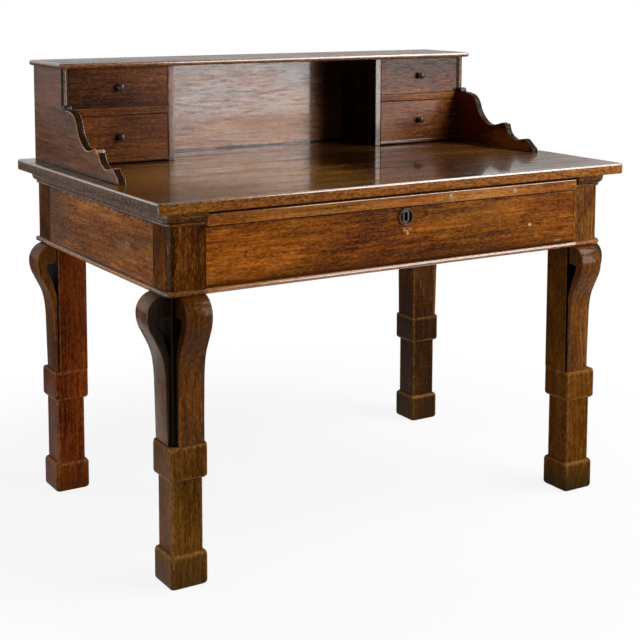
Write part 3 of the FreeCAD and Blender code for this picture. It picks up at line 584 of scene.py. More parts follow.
# Near-black walnut: painted shade on the faces inside the compartments and on the right wing's arrises, and
# the dark band along the wings' edges.
SHADE_AND_DARK_BAND_WALNUT = Walnut(
    "walnut_hollow", (0.004, 0.0013, 0.0003), (0.014, 0.0045, 0.001), (0.029, 0.01, 0.002),
    (0.07, 0.027, 0.007), gloss=0.3, shine=0.06, worn=(0.16, 0.07, 0.02), worn_share=0.3)
# Light walnut for the left wing's arrises: wear, with painted highlight.
RUBBED_HIGHLIGHT_WALNUT = Walnut(
    "walnut_rubbed", (0.08, 0.03, 0.008), (0.2, 0.085, 0.024), (0.32, 0.15, 0.05), (0.52, 0.29, 0.125),
    gloss=0.26, shine=0.3, coat=0.5, coat_gloss=0.12, worn=(0.55, 0.33, 0.16), worn_share=0.5)
LINING_WALNUT = Walnut(
    "drawer_lining", (0.13, 0.07, 0.032), (0.29, 0.17, 0.085), (0.4, 0.25, 0.13), (0.52, 0.35, 0.2),
    figure=0.4, gloss=0.6, shine=0.2)
PLUG_WOOD = Walnut(
    "plug_wood", (0.22, 0.11, 0.05), (0.4, 0.22, 0.11), (0.52, 0.32, 0.17), (0.6, 0.42, 0.26), figure=0.4)
KNOB_BLACK = Polished("knob_wood", (0.006, 0.004, 0.003), (0.024, 0.015, 0.01), 0.0, 0.2, 1.0)
ROLL_BLACK = Polished("walnut_roll", (0.006, 0.004, 0.003), (0.018, 0.011, 0.008), 0.0, 0.45)
LOCK_METAL = Polished("iron", (0.014, 0.01, 0.008), (0.007, 0.005, 0.004), 0.3, 0.7, 0.0, 0.1)
SLOT_METAL = Polished("keyhole_metal", (0.17, 0.105, 0.085), (0.07, 0.036, 0.026), 0.0, 0.45, 0.0, 0.4)
# Near-black painted shade on the keyhole ring's sunk floor.
KEYHOLE_SHADE_BLACK = Polished("keyhole_painted_shade", (0.004, 0.0028, 0.002), (0.008, 0.005, 0.003), 0.0, 0.9, 0.0, 0.0)
RIM_BROWN = Polished("escutcheon_rim", (0.045, 0.016, 0.005), (0.14, 0.055, 0.016), 0.0, 0.35, 0.0, 0.35)


# ---- Skins

# The ring on a slab's faces, and the rows on a box's faces, in radii of the rounding.
END_RING, FACE_ROW = 1.6, 2.2


@dataclass
class Skin:
    """Points, faces, wear values and painted-shade values of one closed surface, and the finish number of its
    faces.
    """

    points: np.ndarray
    faces: list[list[int]]
    wear: np.ndarray
    grime: np.ndarray
    finish: int | np.ndarray = 0

    def turned_over(self, sign_x: int, sign_y: int) -> "Skin":
        """Mirrors the skin in the table's middle planes.

        Args:
            sign_x: -1 to mirror left and right.
            sign_y: -1 to mirror front and back.

        Returns:
            The mirrored skin.
        """
        return replace(self, points=self.points * np.array([sign_x, sign_y, 1.0]))

    def middles(self) -> np.ndarray:
        """Returns the faces' middles, shaped (faces, 3)."""
        return np.array([self.points[face].mean(axis=0) for face in self.faces])


def ring_faces(rings: int, around: int, endless: bool = False) -> list[list[int]]:
    """Returns the quads between closed rings, and the two end faces.

    Args:
        rings: how many rings there are.
        around: how many points each has.
        endless: whether the last ring joins the first, so that there are no end faces.

    Returns:
        Point numbers of each face.
    """
    row = np.arange(rings)[:, None] * around
    following = np.roll(row, -1, axis=0)
    column = np.arange(around)[None, :]
    after = (column + 1) % around
    quads = np.stack([row + column, row + after, following + after, following + column], axis=-1)
    if endless:
        return quads.reshape(-1, 4).tolist()
    ends = [list(range(around))[::-1], list(range((rings - 1) * around, rings * around))]
    return quads[:-1].reshape(-1, 4).tolist() + ends


def loft(rings: np.ndarray, wear: np.ndarray, grime: np.ndarray | None = None) -> Skin:
    """Makes a closed skin of rings of points; wear and painted shade have one value for each point."""
    count, around, _ = rings.shape
    flat = np.broadcast_to(wear, (count, around)).reshape(-1)
    shade_share = np.zeros_like(flat) if grime is None else np.broadcast_to(grime, (count, around)).reshape(-1)
    return Skin(rings.reshape(-1, 3), ring_faces(count, around), flat, shade_share)


def stacked(plans: np.ndarray, heights: np.ndarray) -> np.ndarray:
    """Joins plans, shaped (levels, points, 2), and a height for each level into rings of points."""
    levels = np.broadcast_to(np.asarray(heights, float)[:, None, None], plans.shape[:2] + (1,))
    return np.concatenate([plans, levels], axis=-1)


def quarter(steps: int) -> tuple[np.ndarray, np.ndarray]:
    """Returns 1 - cos and 1 - sin of angles from 0 to a right angle: how a round edge draws in and rises."""
    angle = np.linspace(0.0, math.pi / 2.0, steps + 1)
    return 1.0 - np.cos(angle), 1.0 - np.sin(angle)


def rounded_square(half_x: np.ndarray, half_y: np.ndarray, radius: np.ndarray, steps: int = 6,
                   support: float = 0.0012) -> tuple[np.ndarray, np.ndarray]:
    """Returns rectangles with round corners, one for each size in the arrays.

    Each corner is a quarter circle about a centre one radius inside the rectangle's corner, with one more
    point a support's length along each straight, so that the flats stay flat.

    Args:
        half_x: half widths.
        half_y: half depths.
        radius: corner radii.
        steps: segments of a corner.
        support: how far the extra points stand from the corner's arc.

    Returns:
        X and Y of the points, shaped (sizes, points, 2), and 1 on the arcs and 0 at the extra points.
    """
    half_x, half_y, radius = (np.asarray(value, float)[:, None] for value in (half_x, half_y, radius))
    rows = []
    for index, (sign_x, sign_y) in enumerate(((1, 1), (-1, 1), (-1, -1), (1, -1))):
        angle = index * math.pi / 2.0 + np.linspace(0.0, math.pi / 2.0, steps + 1)[None, :]
        x = sign_x * (half_x - radius) + radius * np.cos(angle)
        y = sign_y * (half_y - radius) + radius * np.sin(angle)
        first, last = angle[0, 0], angle[0, -1]
        x = np.hstack([x[:, :1] + support * math.sin(first), x, x[:, -1:] - support * math.sin(last)])
        y = np.hstack([y[:, :1] - support * math.cos(first), y, y[:, -1:] + support * math.cos(last)])
        rows.append(np.stack([x, y], axis=-1))
    return np.concatenate(rows, axis=1), np.array(([0.0] + [1.0] * (steps + 1) + [0.0]) * 4)


def eased_box(low: Sequence[float], high: Sequence[float], radius: float = 0.001, steps: int = 2) -> Skin:
    """Makes a board with all its edges rounded.

    Every point of a grid on the plain box is drawn to one radius from the box's inner core, along the line
    from the nearest place of the core. Grid lines lie at equal angles of the rounding, plus one just inside.

    Args:
        low: lowest corner.
        high: highest corner.
        radius: radius of the edges.
        steps: segments in half a rounding.

    Returns:
        The closed skin, with wear 1 on the roundings.
    """
    low, high = np.asarray(low, float), np.asarray(high, float)
    reach = radius * np.tan(math.pi / 4.0 * np.arange(steps, -1, -1) / steps)
    points, faces, wear = [], [], []
    start = 0
    for axis in range(3):
        lines = []
        others = [other for other in range(3) if other != axis]
        for other in others:
            lead = low[other] + radius - reach
            tail = (high[other] - radius + reach)[::-1]
            inner = [low[other] + radius * FACE_ROW, high[other] - radius * FACE_ROW]
            lines.append(np.concatenate([lead, inner, tail]))
        first, second = np.meshgrid(lines[0], lines[1], indexing="ij")
        count_a, count_b = first.shape
        row, column = np.meshgrid(np.arange(count_a - 1), np.arange(count_b - 1), indexing="ij")
        corner = (row * count_b + column).reshape(-1)
        quads = np.stack([corner, corner + 1, corner + count_b + 1, corner + count_b], axis=-1)
        for level in (low[axis], high[axis]):
            grid = np.zeros((count_a * count_b, 3))
            grid[:, axis] = level
            grid[:, others[0]] = first.reshape(-1)
            grid[:, others[1]] = second.reshape(-1)
            core = np.clip(grid, low + radius, high - radius)
            away = grid - core
            length = np.linalg.norm(away, axis=1, keepdims=True)
            points.append(core + away / length * radius)
            wear.append((np.count_nonzero(np.abs(away) > 1e-7, axis=1) > 1).astype(float))
            faces.extend((quads + start).tolist())
            start += count_a * count_b
    flags = np.concatenate(wear)
    return Skin(np.concatenate(points), faces, flags, np.zeros_like(flags))


def arcs_through(places: Sequence[tuple[float, float]], steps: int = 10) -> np.ndarray:
    """Returns points along a chain of arcs, each through three places, the last of them the next arc's first.

    The centre of each arc is where the perpendicular bisectors of its two chords meet, and the points lie at
    equal angles about it.

    Args:
        places: the chain: ends and middles of the arcs in turn.
        steps: segments of an arc.

    Returns:
        The points, with repeats at the joins left out.
    """
    chain, runs = np.asarray(places, float), []
    for first, middle, last in zip(chain[:-2:2], chain[1::2], chain[2::2]):
        matrix = 2.0 * np.array([middle - first, last - middle])
        values = np.array([middle @ middle - first @ first, last @ last - middle @ middle])
        centre = np.linalg.solve(matrix, values)
        angles = np.unwrap([math.atan2(*(place - centre)[::-1]) for place in (first, middle, last)])
        radius = np.linalg.norm(first - centre)
        sweep = np.linspace(angles[0], angles[2], steps + 1)
        runs.append(centre + radius * np.stack([np.cos(sweep), np.sin(sweep)], axis=-1))
    line = np.concatenate(runs)
    step = np.linalg.norm(np.diff(line, axis=0), axis=1)
    return line[np.concatenate([[True], step > 1e-7])]


def drawn_in(outline: np.ndarray, inset: float) -> np.ndarray:
    """Moves a closed outline inwards along its mitred normals.

    Args:
        outline: points in order, in two numbers each.
        inset: how far inwards.

    Returns:
        The moved points.
    """
    ahead = np.roll(outline, -1, axis=0) - outline
    ahead = ahead / np.linalg.norm(ahead, axis=1, keepdims=True)
    behind = np.roll(ahead, 1, axis=0)
    area = np.sum(outline[:, 0] * np.roll(outline[:, 1], -1) - np.roll(outline[:, 0], -1) * outline[:, 1])
    turn = np.array([[0.0, 1.0], [-1.0, 0.0]]) * (1.0 if area > 0 else -1.0)
    normal = (ahead + behind) @ turn
    normal = normal / np.maximum(np.linalg.norm(normal, axis=1, keepdims=True), 1e-9)
    facing = ahead @ turn
    share = np.clip(np.sum(normal * facing, axis=1, keepdims=True), 0.5, 1.0)
    return outline + normal * inset / share


def slab(outline: np.ndarray, width: float, radius: float, steps: int = 3,
         weight: np.ndarray | None = None) -> tuple[np.ndarray, np.ndarray]:
    """Gives an outline a thickness with rounded arrises.

    Rings follow a quarter circle from the drawn-in outline on one face to the full outline, and back on the
    other face; the end faces lie inside one more ring.

    Args:
        outline: closed outline in two numbers.
        width: thickness.
        radius: radius of the arrises.
        steps: segments of an arris.
        weight: how much of the easing each point takes, 1 everywhere when left out.

    Returns:
        Rings shaped (rings, points, 3), the third number running through the thickness, and their wear.
    """
    share = np.ones((len(outline), 1)) if weight is None else weight[:, None]
    inset, depth = quarter(steps)
    levels = [(radius * END_RING, 0.0)]
    levels += [(radius * a, radius * b) for a, b in zip(inset[::-1], depth[::-1])]
    levels += [(a, width - b) for a, b in reversed(levels)]
    rings = []
    for draw, level in levels:
        moved = outline + (drawn_in(outline, draw) - outline) * share
        rings.append(np.column_stack([moved, np.full(len(moved), level)]))
    half = len(levels) // 2
    wear = np.array([0.0] + [1.0] * (half - 2) + [0.0, 0.0] + [1.0] * (half - 2) + [0.0])
    return np.array(rings), wear[:, None]


# Metres from a board's rounding to the next ring inwards, the least corner radius of its rings, the corner
# radius of a pocket, and how near its two ends the edge's faces count as end faces.
RING_HOLD = 0.002
LEAST_CORNER = 0.004
POCKET_CORNER = 0.0005
END_DEPTH = 0.0035


def edged_board(half: Span, centre_y: float, corner: float, span: Span, upper: float, lower: float,
                pocket: Sequence[float] = ()) -> Skin:
    """Makes a board with round corners and eased edges.

    The round-cornered outline is drawn in along quarter circles at the upper and the lower edge.

    Args:
        half: half sizes in X and Y.
        centre_y: the board's middle in Y.
        corner: radius in plan.
        span: bottom and top.
        upper: radius of the upper edge.
        lower: radius of the lower edge.
        pocket: a square pocket in the underside, as its middle Y, half width, half depth and ceiling.

    Returns:
        The closed skin: finish 0 on the flats, 1 on the edge, 2 on its upper rounding, 3 on its two ends.
    """
    inset, rise = quarter(6)
    low, high = span
    rows = [(lower + RING_HOLD, low)]
    rows += [(lower * a, low + lower * b) for a, b in zip(inset[::-1], rise[::-1])]
    rows += [(upper * a, high - upper * b) for a, b in zip(inset, rise)] + [(upper + RING_HOLD, high)]
    draw, z = np.array(rows).T
    outline, _ = rounded_square(half[0] - draw, half[1] - draw, np.maximum(corner - draw, LEAST_CORNER), 8)
    rings = stacked(outline + np.array([0.0, centre_y]), z)
    count, around = rings.shape[:2]
    wear = np.ones(count)
    wear[[0, -1]] = 0.0
    if pocket:
        middle, half_x, half_y, ceiling = pocket
        mouth, _ = rounded_square(np.full(2, half_x), np.full(2, half_y), np.full(2, POCKET_CORNER), 8)
        rings = np.concatenate([stacked(mouth + np.array([0.0, middle]), (ceiling, low)), rings])
        wear = np.concatenate([[0.0, 0.0], wear])
    skin = loft(rings, wear[:, None])
    band = np.arange(len(skin.faces)) // around - (len(wear) - count)
    edge = (band >= 1) & (band < count - 2)
    finish = edge * (1 + (band > count // 2 - 1))
    ends = (finish == 1) & (np.abs(skin.middles()[:, 0]) > half[0] - END_DEPTH)
    return replace(skin, finish=np.where(ends, 3, finish))


def picked(skin: Skin, rule: Callable[[np.ndarray], np.ndarray]) -> Skin:
    """Gives faces another finish by where their middles lie.

    Args:
        skin: the skin.
        rule: turns the faces' middles, shaped (faces, 3), into finish numbers.

    Returns:
        A copy of the skin with the finish of every face set.
    """
    return replace(skin, finish=rule(skin.middles()).astype(int))


def turned(profile: Sequence[tuple[float, float]], origin: Sequence[float], around: int = 48) -> Skin:
    """Turns a profile about a line that runs forwards from a place on a front.

    A point at radius r and height h and angle a lies at origin + (r cos a, -h, r sin a).

    Args:
        profile: radii and heights.
        origin: the foot of the line.
        around: segments of the turn.

    Returns:
        The closed skin.
    """
    shape = np.asarray(profile, float)
    angle = np.linspace(0.0, 2.0 * math.pi, around, endpoint=False)
    radius, height = shape[:, :1], shape[:, 1:]
    rings = np.stack([radius * np.cos(angle), -height + 0.0 * angle, radius * np.sin(angle)], axis=-1)
    return loft(rings + np.asarray(origin, float), np.zeros((len(shape), 1)))


def half_round(out: float, low: float, height: float, steps: int) -> list[tuple[float, float]]:
    """Returns reach and height along a half circle that starts at a height and reaches out to a distance."""
    radius = height / 2.0
    return [(out - radius + radius * math.sin(a), low + radius - radius * math.cos(a))
            for a in np.linspace(0.0, math.pi, steps + 1)]


def smoothed(profile: Sequence[tuple[float, float]], rounds: int = 3) -> list[tuple[float, float]]:
    """Cuts the corners of an open profile, a quarter of each run at a time.

    Args:
        profile: places in order.
        rounds: how often it is done.

    Returns:
        The smoother profile, with its ends kept.
    """
    line = np.asarray(profile, float)
    for _ in range(rounds):
        cut = np.stack([0.75 * line[:-1] + 0.25 * line[1:], 0.25 * line[:-1] + 0.75 * line[1:]], axis=1)
        line = np.concatenate([line[:1], cut.reshape(-1, 2), line[-1:]])
    return [tuple(place) for place in line]


# ---- Pieces

# Points nearer than this, in metres, are one point.
SAME_PLACE = 1e-6
# Angles in degrees: faces flatter than the first to each other join, and edges that turn more than the
# second are rounded.
FLAT_ANGLE = 0.4
EDGE_ANGLE = 40.0


def piece(name: str, skins: Sequence[Skin], nodes: Sequence[str],
          materials: Sequence[bpy.types.Material], body: str = "table",
          sharp: float = 38.0) -> bpy.types.Object:
    """Makes one object of closed skins and lets it stand for frame nodes.

    Args:
        name: the object's name.
        skins: its closed surfaces.
        nodes: the frame nodes that it stands for.
        materials: its finishes.
        body: the body that carries it.
        sharp: the angle in degrees past which an edge stays sharp.

    Returns:
        The object.
    """
    starts = np.cumsum([0] + [len(skin.points) for skin in skins])
    faces = [[index + start for index in face] for start, skin in zip(starts.tolist(), skins)
             for face in skin.faces]
    mesh = bpy.data.meshes.new(name)
    mesh.from_pydata(np.concatenate([skin.points for skin in skins]).tolist(), [], faces)
    for label in ("wear", "grime"):
        layer = mesh.attributes.new(label, "FLOAT", "POINT")
        values = np.concatenate([getattr(skin, label) for skin in skins])
        layer.data.foreach_set("value", values.astype(np.float32))
    for material in materials:
        mesh.materials.append(material)
    finish = np.concatenate([np.broadcast_to(skin.finish, len(skin.faces)) for skin in skins])
    mesh.polygons.foreach_set("material_index", finish.astype(np.int32))
    shell = bmesh.new()
    shell.from_mesh(mesh)
    bmesh.ops.remove_doubles(shell, verts=shell.verts, dist=SAME_PLACE)
    bmesh.ops.recalc_face_normals(shell, faces=shell.faces)
    shell.to_mesh(mesh)
    shell.free()
    return settle(mesh, name, body, nodes, sharp)


def linked(name: str, data: bpy.types.ID) -> bpy.types.Object:
    """Makes an object of a mesh, lamp or camera and links it to the scene."""
    thing = bpy.data.objects.new(name, data)
    bpy.context.scene.collection.objects.link(thing)
    return thing


def settle(mesh: bpy.types.Mesh, name: str, body: str, nodes: Sequence[str],
           sharp: float) -> bpy.types.Object:
    """Shades a mesh, makes its object, and names its body and nodes; arguments as in piece."""
    mesh.shade_smooth()
    mesh.set_sharp_from_angle(angle=math.radians(sharp))
    thing = linked(name, mesh)
    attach(thing, body)
    if nodes:
        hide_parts(*nodes)
    LOG.info("%s: %d faces on %s", name, len(mesh.polygons), body)
    return thing


def eased_copy(name: str, node: str, body: str, material: bpy.types.Material,
               edge: bpy.types.Material, width: float = 0.0008) -> bpy.types.Object:
    """Makes a copy of a frame node with rubbed edges.

    The copy's loose triangles are merged and its flat faces joined, a bevel rounds every edge that turns by
    more than 40 degrees, and its new faces take the edge's finish.

    Args:
        name: the object's name.
        node: the frame node.
        body: the body that carries it.
        material: the finish of the faces.
        edge: the finish of the rubbed edges.
        width: how wide the edges are.

    Returns:
        The object.
    """
    shell = bmesh.new()
    shell.from_mesh(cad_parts[node].data)
    bmesh.ops.remove_doubles(shell, verts=shell.verts, dist=SAME_PLACE)
    bmesh.ops.dissolve_limit(shell, angle_limit=math.radians(FLAT_ANGLE), verts=shell.verts,
                             edges=shell.edges)
    rough = bpy.data.meshes.new(name + "_rough")
    shell.to_mesh(rough)
    shell.free()
    for finish in (material, edge):
        rough.materials.append(finish)
    holder = linked(name + "_holder", rough)
    bevel = holder.modifiers.new("edges", "BEVEL")
    bevel.width = width
    bevel.segments = 2
    bevel.limit_method = "ANGLE"
    bevel.angle_limit = math.radians(EDGE_ANGLE)
    bevel.material = 1
    bpy.context.view_layer.update()
    graph = bpy.context.evaluated_depsgraph_get()
    mesh = bpy.data.meshes.new_from_object(holder.evaluated_get(graph))
    bpy.data.objects.remove(holder)
    mesh.name = name
    return settle(mesh, name, body, [node], 1.0)


def dress_node(node: str, material: bpy.types.Material) -> None:
    """Gives a frame node that stays as it is its finish."""
    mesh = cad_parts[node].data
    mesh.materials.clear()
    mesh.materials.append(material)
    LOG.info("%s keeps its shape", node)


# ---- Sub-assemblies


@dataclass
class Legs:
    """The four legs: rounded square sections as foot, shaft, collar and post, and scrolled straps."""

    centre: tuple[float, float] = (-0.511, -0.309)
    foot_half: float = 0.041
    foot_height: float = 0.070
    shaft_half: float = 0.0332
    collar: Span = (0.218, 0.2895)
    post_half: float = 0.0351
    top: float = 0.590
    sole_inset: float = 0.010
    sole_corner: float = 0.006
    floor_round: Span = (0.006, 0.008)
    foot_corner: float = 0.0075
    foot_sharper: float = 0.0035
    foot_shoulder: float = 0.010
    shaft_corner: float = 0.0035
    shaft_hold: float = 0.003
    collar_corner: float = 0.0045
    collar_ease: float = 0.001
    collar_round: float = 0.008
    collar_rim: Span = (0.0015, 0.010)
    collar_flat: float = 0.004
    post_corner: float = 0.003
    post_stand: float = 0.0012
    post_hold: float = 0.001
    bracket_width: float = 0.057
    bracket_arris: float = 0.0022
    bracket_margin: float = 0.0045
    # Painted shade: how dark the post's outer faces between the straps, the straps' sides towards the outer
    # corner and their faces against the post are painted, and where across a strap and how fast that side's
    # shade sets in.
    post_painted_shade: float = 0.94
    strap_painted_shade: float = 0.72
    hidden_painted_shade: float = 0.9
    contact: float = 0.0001
    strap_shade_start: float = 0.975
    strap_shade_rate: float = 60.0
    corner_wear: float = 0.6
    swell: float = 0.0026
    reach: float = 0.045
    straight: float = 0.007
    eye: Span = (0.042, 0.136)
    outer_shares: tuple[Span, ...] = (
        (0.40, 0.008), (0.84, 0.055), (1.00, 0.138), (0.95, 0.190), (0.80, 0.245), (0.605, 0.303),
        (0.43, 0.355), (0.305, 0.410), (0.225, 0.470), (0.178, 0.540), (0.1556, 0.620))
    eye_shares: tuple[Span, ...] = (
        (0.60, 0.0), (0.56, 0.14), (0.46, 0.28), (0.31, 0.46), (0.18, 0.66), (0.07, 0.84), (0.0, 1.0))

    def rounding(self, start: float, rise: float, ledge: float, corner: float, sharper: float = 0.0,
                 aside: float = 0.0, rubbed: float = 1.0) -> list[list[float]]:
        """Returns levels along a quarter ellipse between the foot's full width and a ledge, upwards in order.

        At angle a the height is start + rise sin a, and the half width is drawn in by ledge (1 - cos a).

        Args:
            start: height at the full width.
            rise: height of the rounding, negative where the ledge faces the floor.
            ledge: depth of the rounding.
            corner: corner radius at the full width.
            sharper: how much smaller the corner radius gets.
            aside: shift towards the inner corner at the ledge.
            rubbed: wear halfway.

        Returns:
            Rows as in levels.
        """
        angle = np.linspace(0.0, math.pi / 2.0, 6)
        draw = 1.0 - np.cos(angle)
        wear = rubbed * np.array([0.0, 0.5, 1.0, 1.0, 0.5, 0.0])
        rows = np.column_stack([start + rise * np.sin(angle), self.foot_half - ledge * draw, aside * draw,
                                corner - sharper * draw, wear])
        return rows.tolist() if rise > 0.0 else rows[::-1].tolist()

    def levels(self) -> list[list[float]]:
        """Returns height, half width, shift towards the inner corner, corner radius and wear, floor first."""
        low, high = self.collar
        ledge, shift = self.foot_half - self.shaft_half, self.foot_half - self.post_half
        shaft = [self.shaft_half, 0.0, self.shaft_corner, 0.0]
        post = [self.post_half, shift, self.post_corner, 0.0]
        draw, climb = self.floor_round
        rim, rim_height = self.collar_rim
        rows = [[0.0, self.foot_half - self.sole_inset, 0.0, self.sole_corner, 0.0]]
        rows += self.rounding(climb, -climb, draw, self.foot_corner, rubbed=0.0)
        rows += self.rounding(self.foot_height - self.foot_shoulder, self.foot_shoulder, ledge,
                              self.foot_corner, self.foot_sharper)
        rows += [[z] + shaft for z in (self.foot_height + self.shaft_hold, low - self.shaft_hold, low)]
        rows += self.rounding(low + self.collar_round + self.collar_ease, -self.collar_round, ledge,
                              self.collar_corner)
        rows += [[high - rim_height - self.collar_flat, self.foot_half, 0.0, self.collar_corner, 0.0]]
        rows += self.rounding(high - rim_height, rim_height, rim, self.collar_corner, aside=rim, rubbed=0.6)
        rows += [[high, self.post_half + self.post_stand, shift - self.post_stand, self.post_corner, 0.0]]
        ends = (high, high + self.post_hold, self.top - self.post_hold, self.top)
        return rows + [[z] + post for z in ends]

    def leg(self) -> Skin:
        """Returns the front left leg: one ring for each level, painted shade on the post's two outer faces.
        """
        z, half, shift, radius, rubbed = np.array(self.levels()).T
        outline, arcs = rounded_square(half, half, radius)
        edge = (half - radius * 0.4)[:, None]
        outer = (outline[..., 0] < -edge) | (outline[..., 1] < -edge)
        post = (z > self.collar[1] - SAME_PLACE)[:, None] & (half < self.post_half + SAME_PLACE)[:, None]
        # Painted shade on the post's two outer faces, in the groove between the straps.
        shade_share = self.post_painted_shade * (outer & post)
        wear = np.clip(arcs[None, :] * self.corner_wear + rubbed[:, None], 0.0, 1.0) * (1.0 - shade_share)
        return loft(stacked(outline + np.array(self.centre) + shift[:, None, None], z), wear, shade_share)

    def bracket_outline(self) -> np.ndarray:
        """Returns the strap's side view: reach from the post and height, from the arcs of shares."""
        eye_top = self.top - self.eye[0]
        outer, eye = ([(self.reach * out, start - height * down) for out, down in shares]
                      for shares, start, height in (
                          (self.outer_shares, self.top, self.top - self.collar[1]),
                          (self.eye_shares, eye_top, self.eye[1] - self.eye[0])))
        crest = [(0.0, self.top), (outer[0][0], self.top)]
        foot = [(self.straight, self.collar[1]), (0.0, self.collar[1])]
        inner = arcs_through(eye, 8)[::-1]
        outline = np.concatenate([crest, arcs_through(outer, 12), foot, inner, [(0.0, eye_top)]])
        reach, height = outline.T
        free = ((reach > SAME_PLACE) & (height < self.top - SAME_PLACE)
                & (height > self.collar[1] + SAME_PLACE))
        return outline + (drawn_in(outline, -self.swell) - outline) * free[:, None]

    def bracket(self, end: bool) -> Skin:
        """Returns one scrolled strap of the front left leg.

        Args:
            end: True for the strap on the front face, False for the one on the left face.

        Returns:
            The strap's skin, with painted shade on its side towards the leg's outer corner and on its face
            against the post.
        """
        rings, wear = slab(self.bracket_outline(), self.bracket_width, self.bracket_arris)
        out, height, across = np.moveaxis(rings, -1, 0)
        near = np.array(self.centre) + self.foot_half
        far = near - 2.0 * self.post_half
        axis = 0 if end else 1
        points = np.zeros_like(rings)
        points[..., axis] = near[axis] - self.bracket_margin - across
        points[..., 1 - axis] = far[1 - axis] - out
        points[..., 2] = height
        # Painted shade: the strap darkens towards the leg's outer corner, and its face against the post is
        # near-black.
        near_end = (across / self.bracket_width - self.strap_shade_start) * self.strap_shade_rate
        shade_share = self.strap_painted_shade * np.clip(near_end, 0.0, 1.0)
        hidden = (out < self.contact) * self.hidden_painted_shade
        return loft(points, np.broadcast_to(wear, out.shape) * (1 - shade_share), np.maximum(shade_share, hidden))

    def build(self) -> None:
        """Makes the legs and straps at the four corners."""
        leg, end, side = self.leg(), self.bracket(True), self.bracket(False)
        woods = {Corner.FRONT_RIGHT: RIGHT_LEG_WALNUT, Corner.BACK_LEFT: RED_LIT_LEG_WALNUT,
                 Corner.BACK_RIGHT: SHADED_LEG_WALNUT}
        for index, corner in enumerate(Corner):
            tag, sign_x, sign_y = corner.value
            end_wood = GLOSSY_BRACKET if sign_x < 0 else BRACKET_WALNUT
            side_wood = STRAP_WALNUT if sign_y > 0 else BRACKET_WALNUT
            leg_wood = woods.get(corner, LEG_WALNUT)
            for name, skin, node, slot, wood, seed, sharp in (
                    ("turned_out_leg_", leg, "leg_", "walnut_leg", leg_wood, index, 38.0),
                    ("strap_end_", end, "bracket_end_", "walnut_bracket", end_wood, index + 4, 50.0),
                    ("strap_side_", side, "bracket_side_", "walnut_bracket", side_wood, index + 8, 50.0)):
                piece(name + tag, [skin.turned_over(sign_x, sign_y)], [node + tag],
                      [wood.dress(Grain.ALONG_Z, seed)], sharp=sharp)


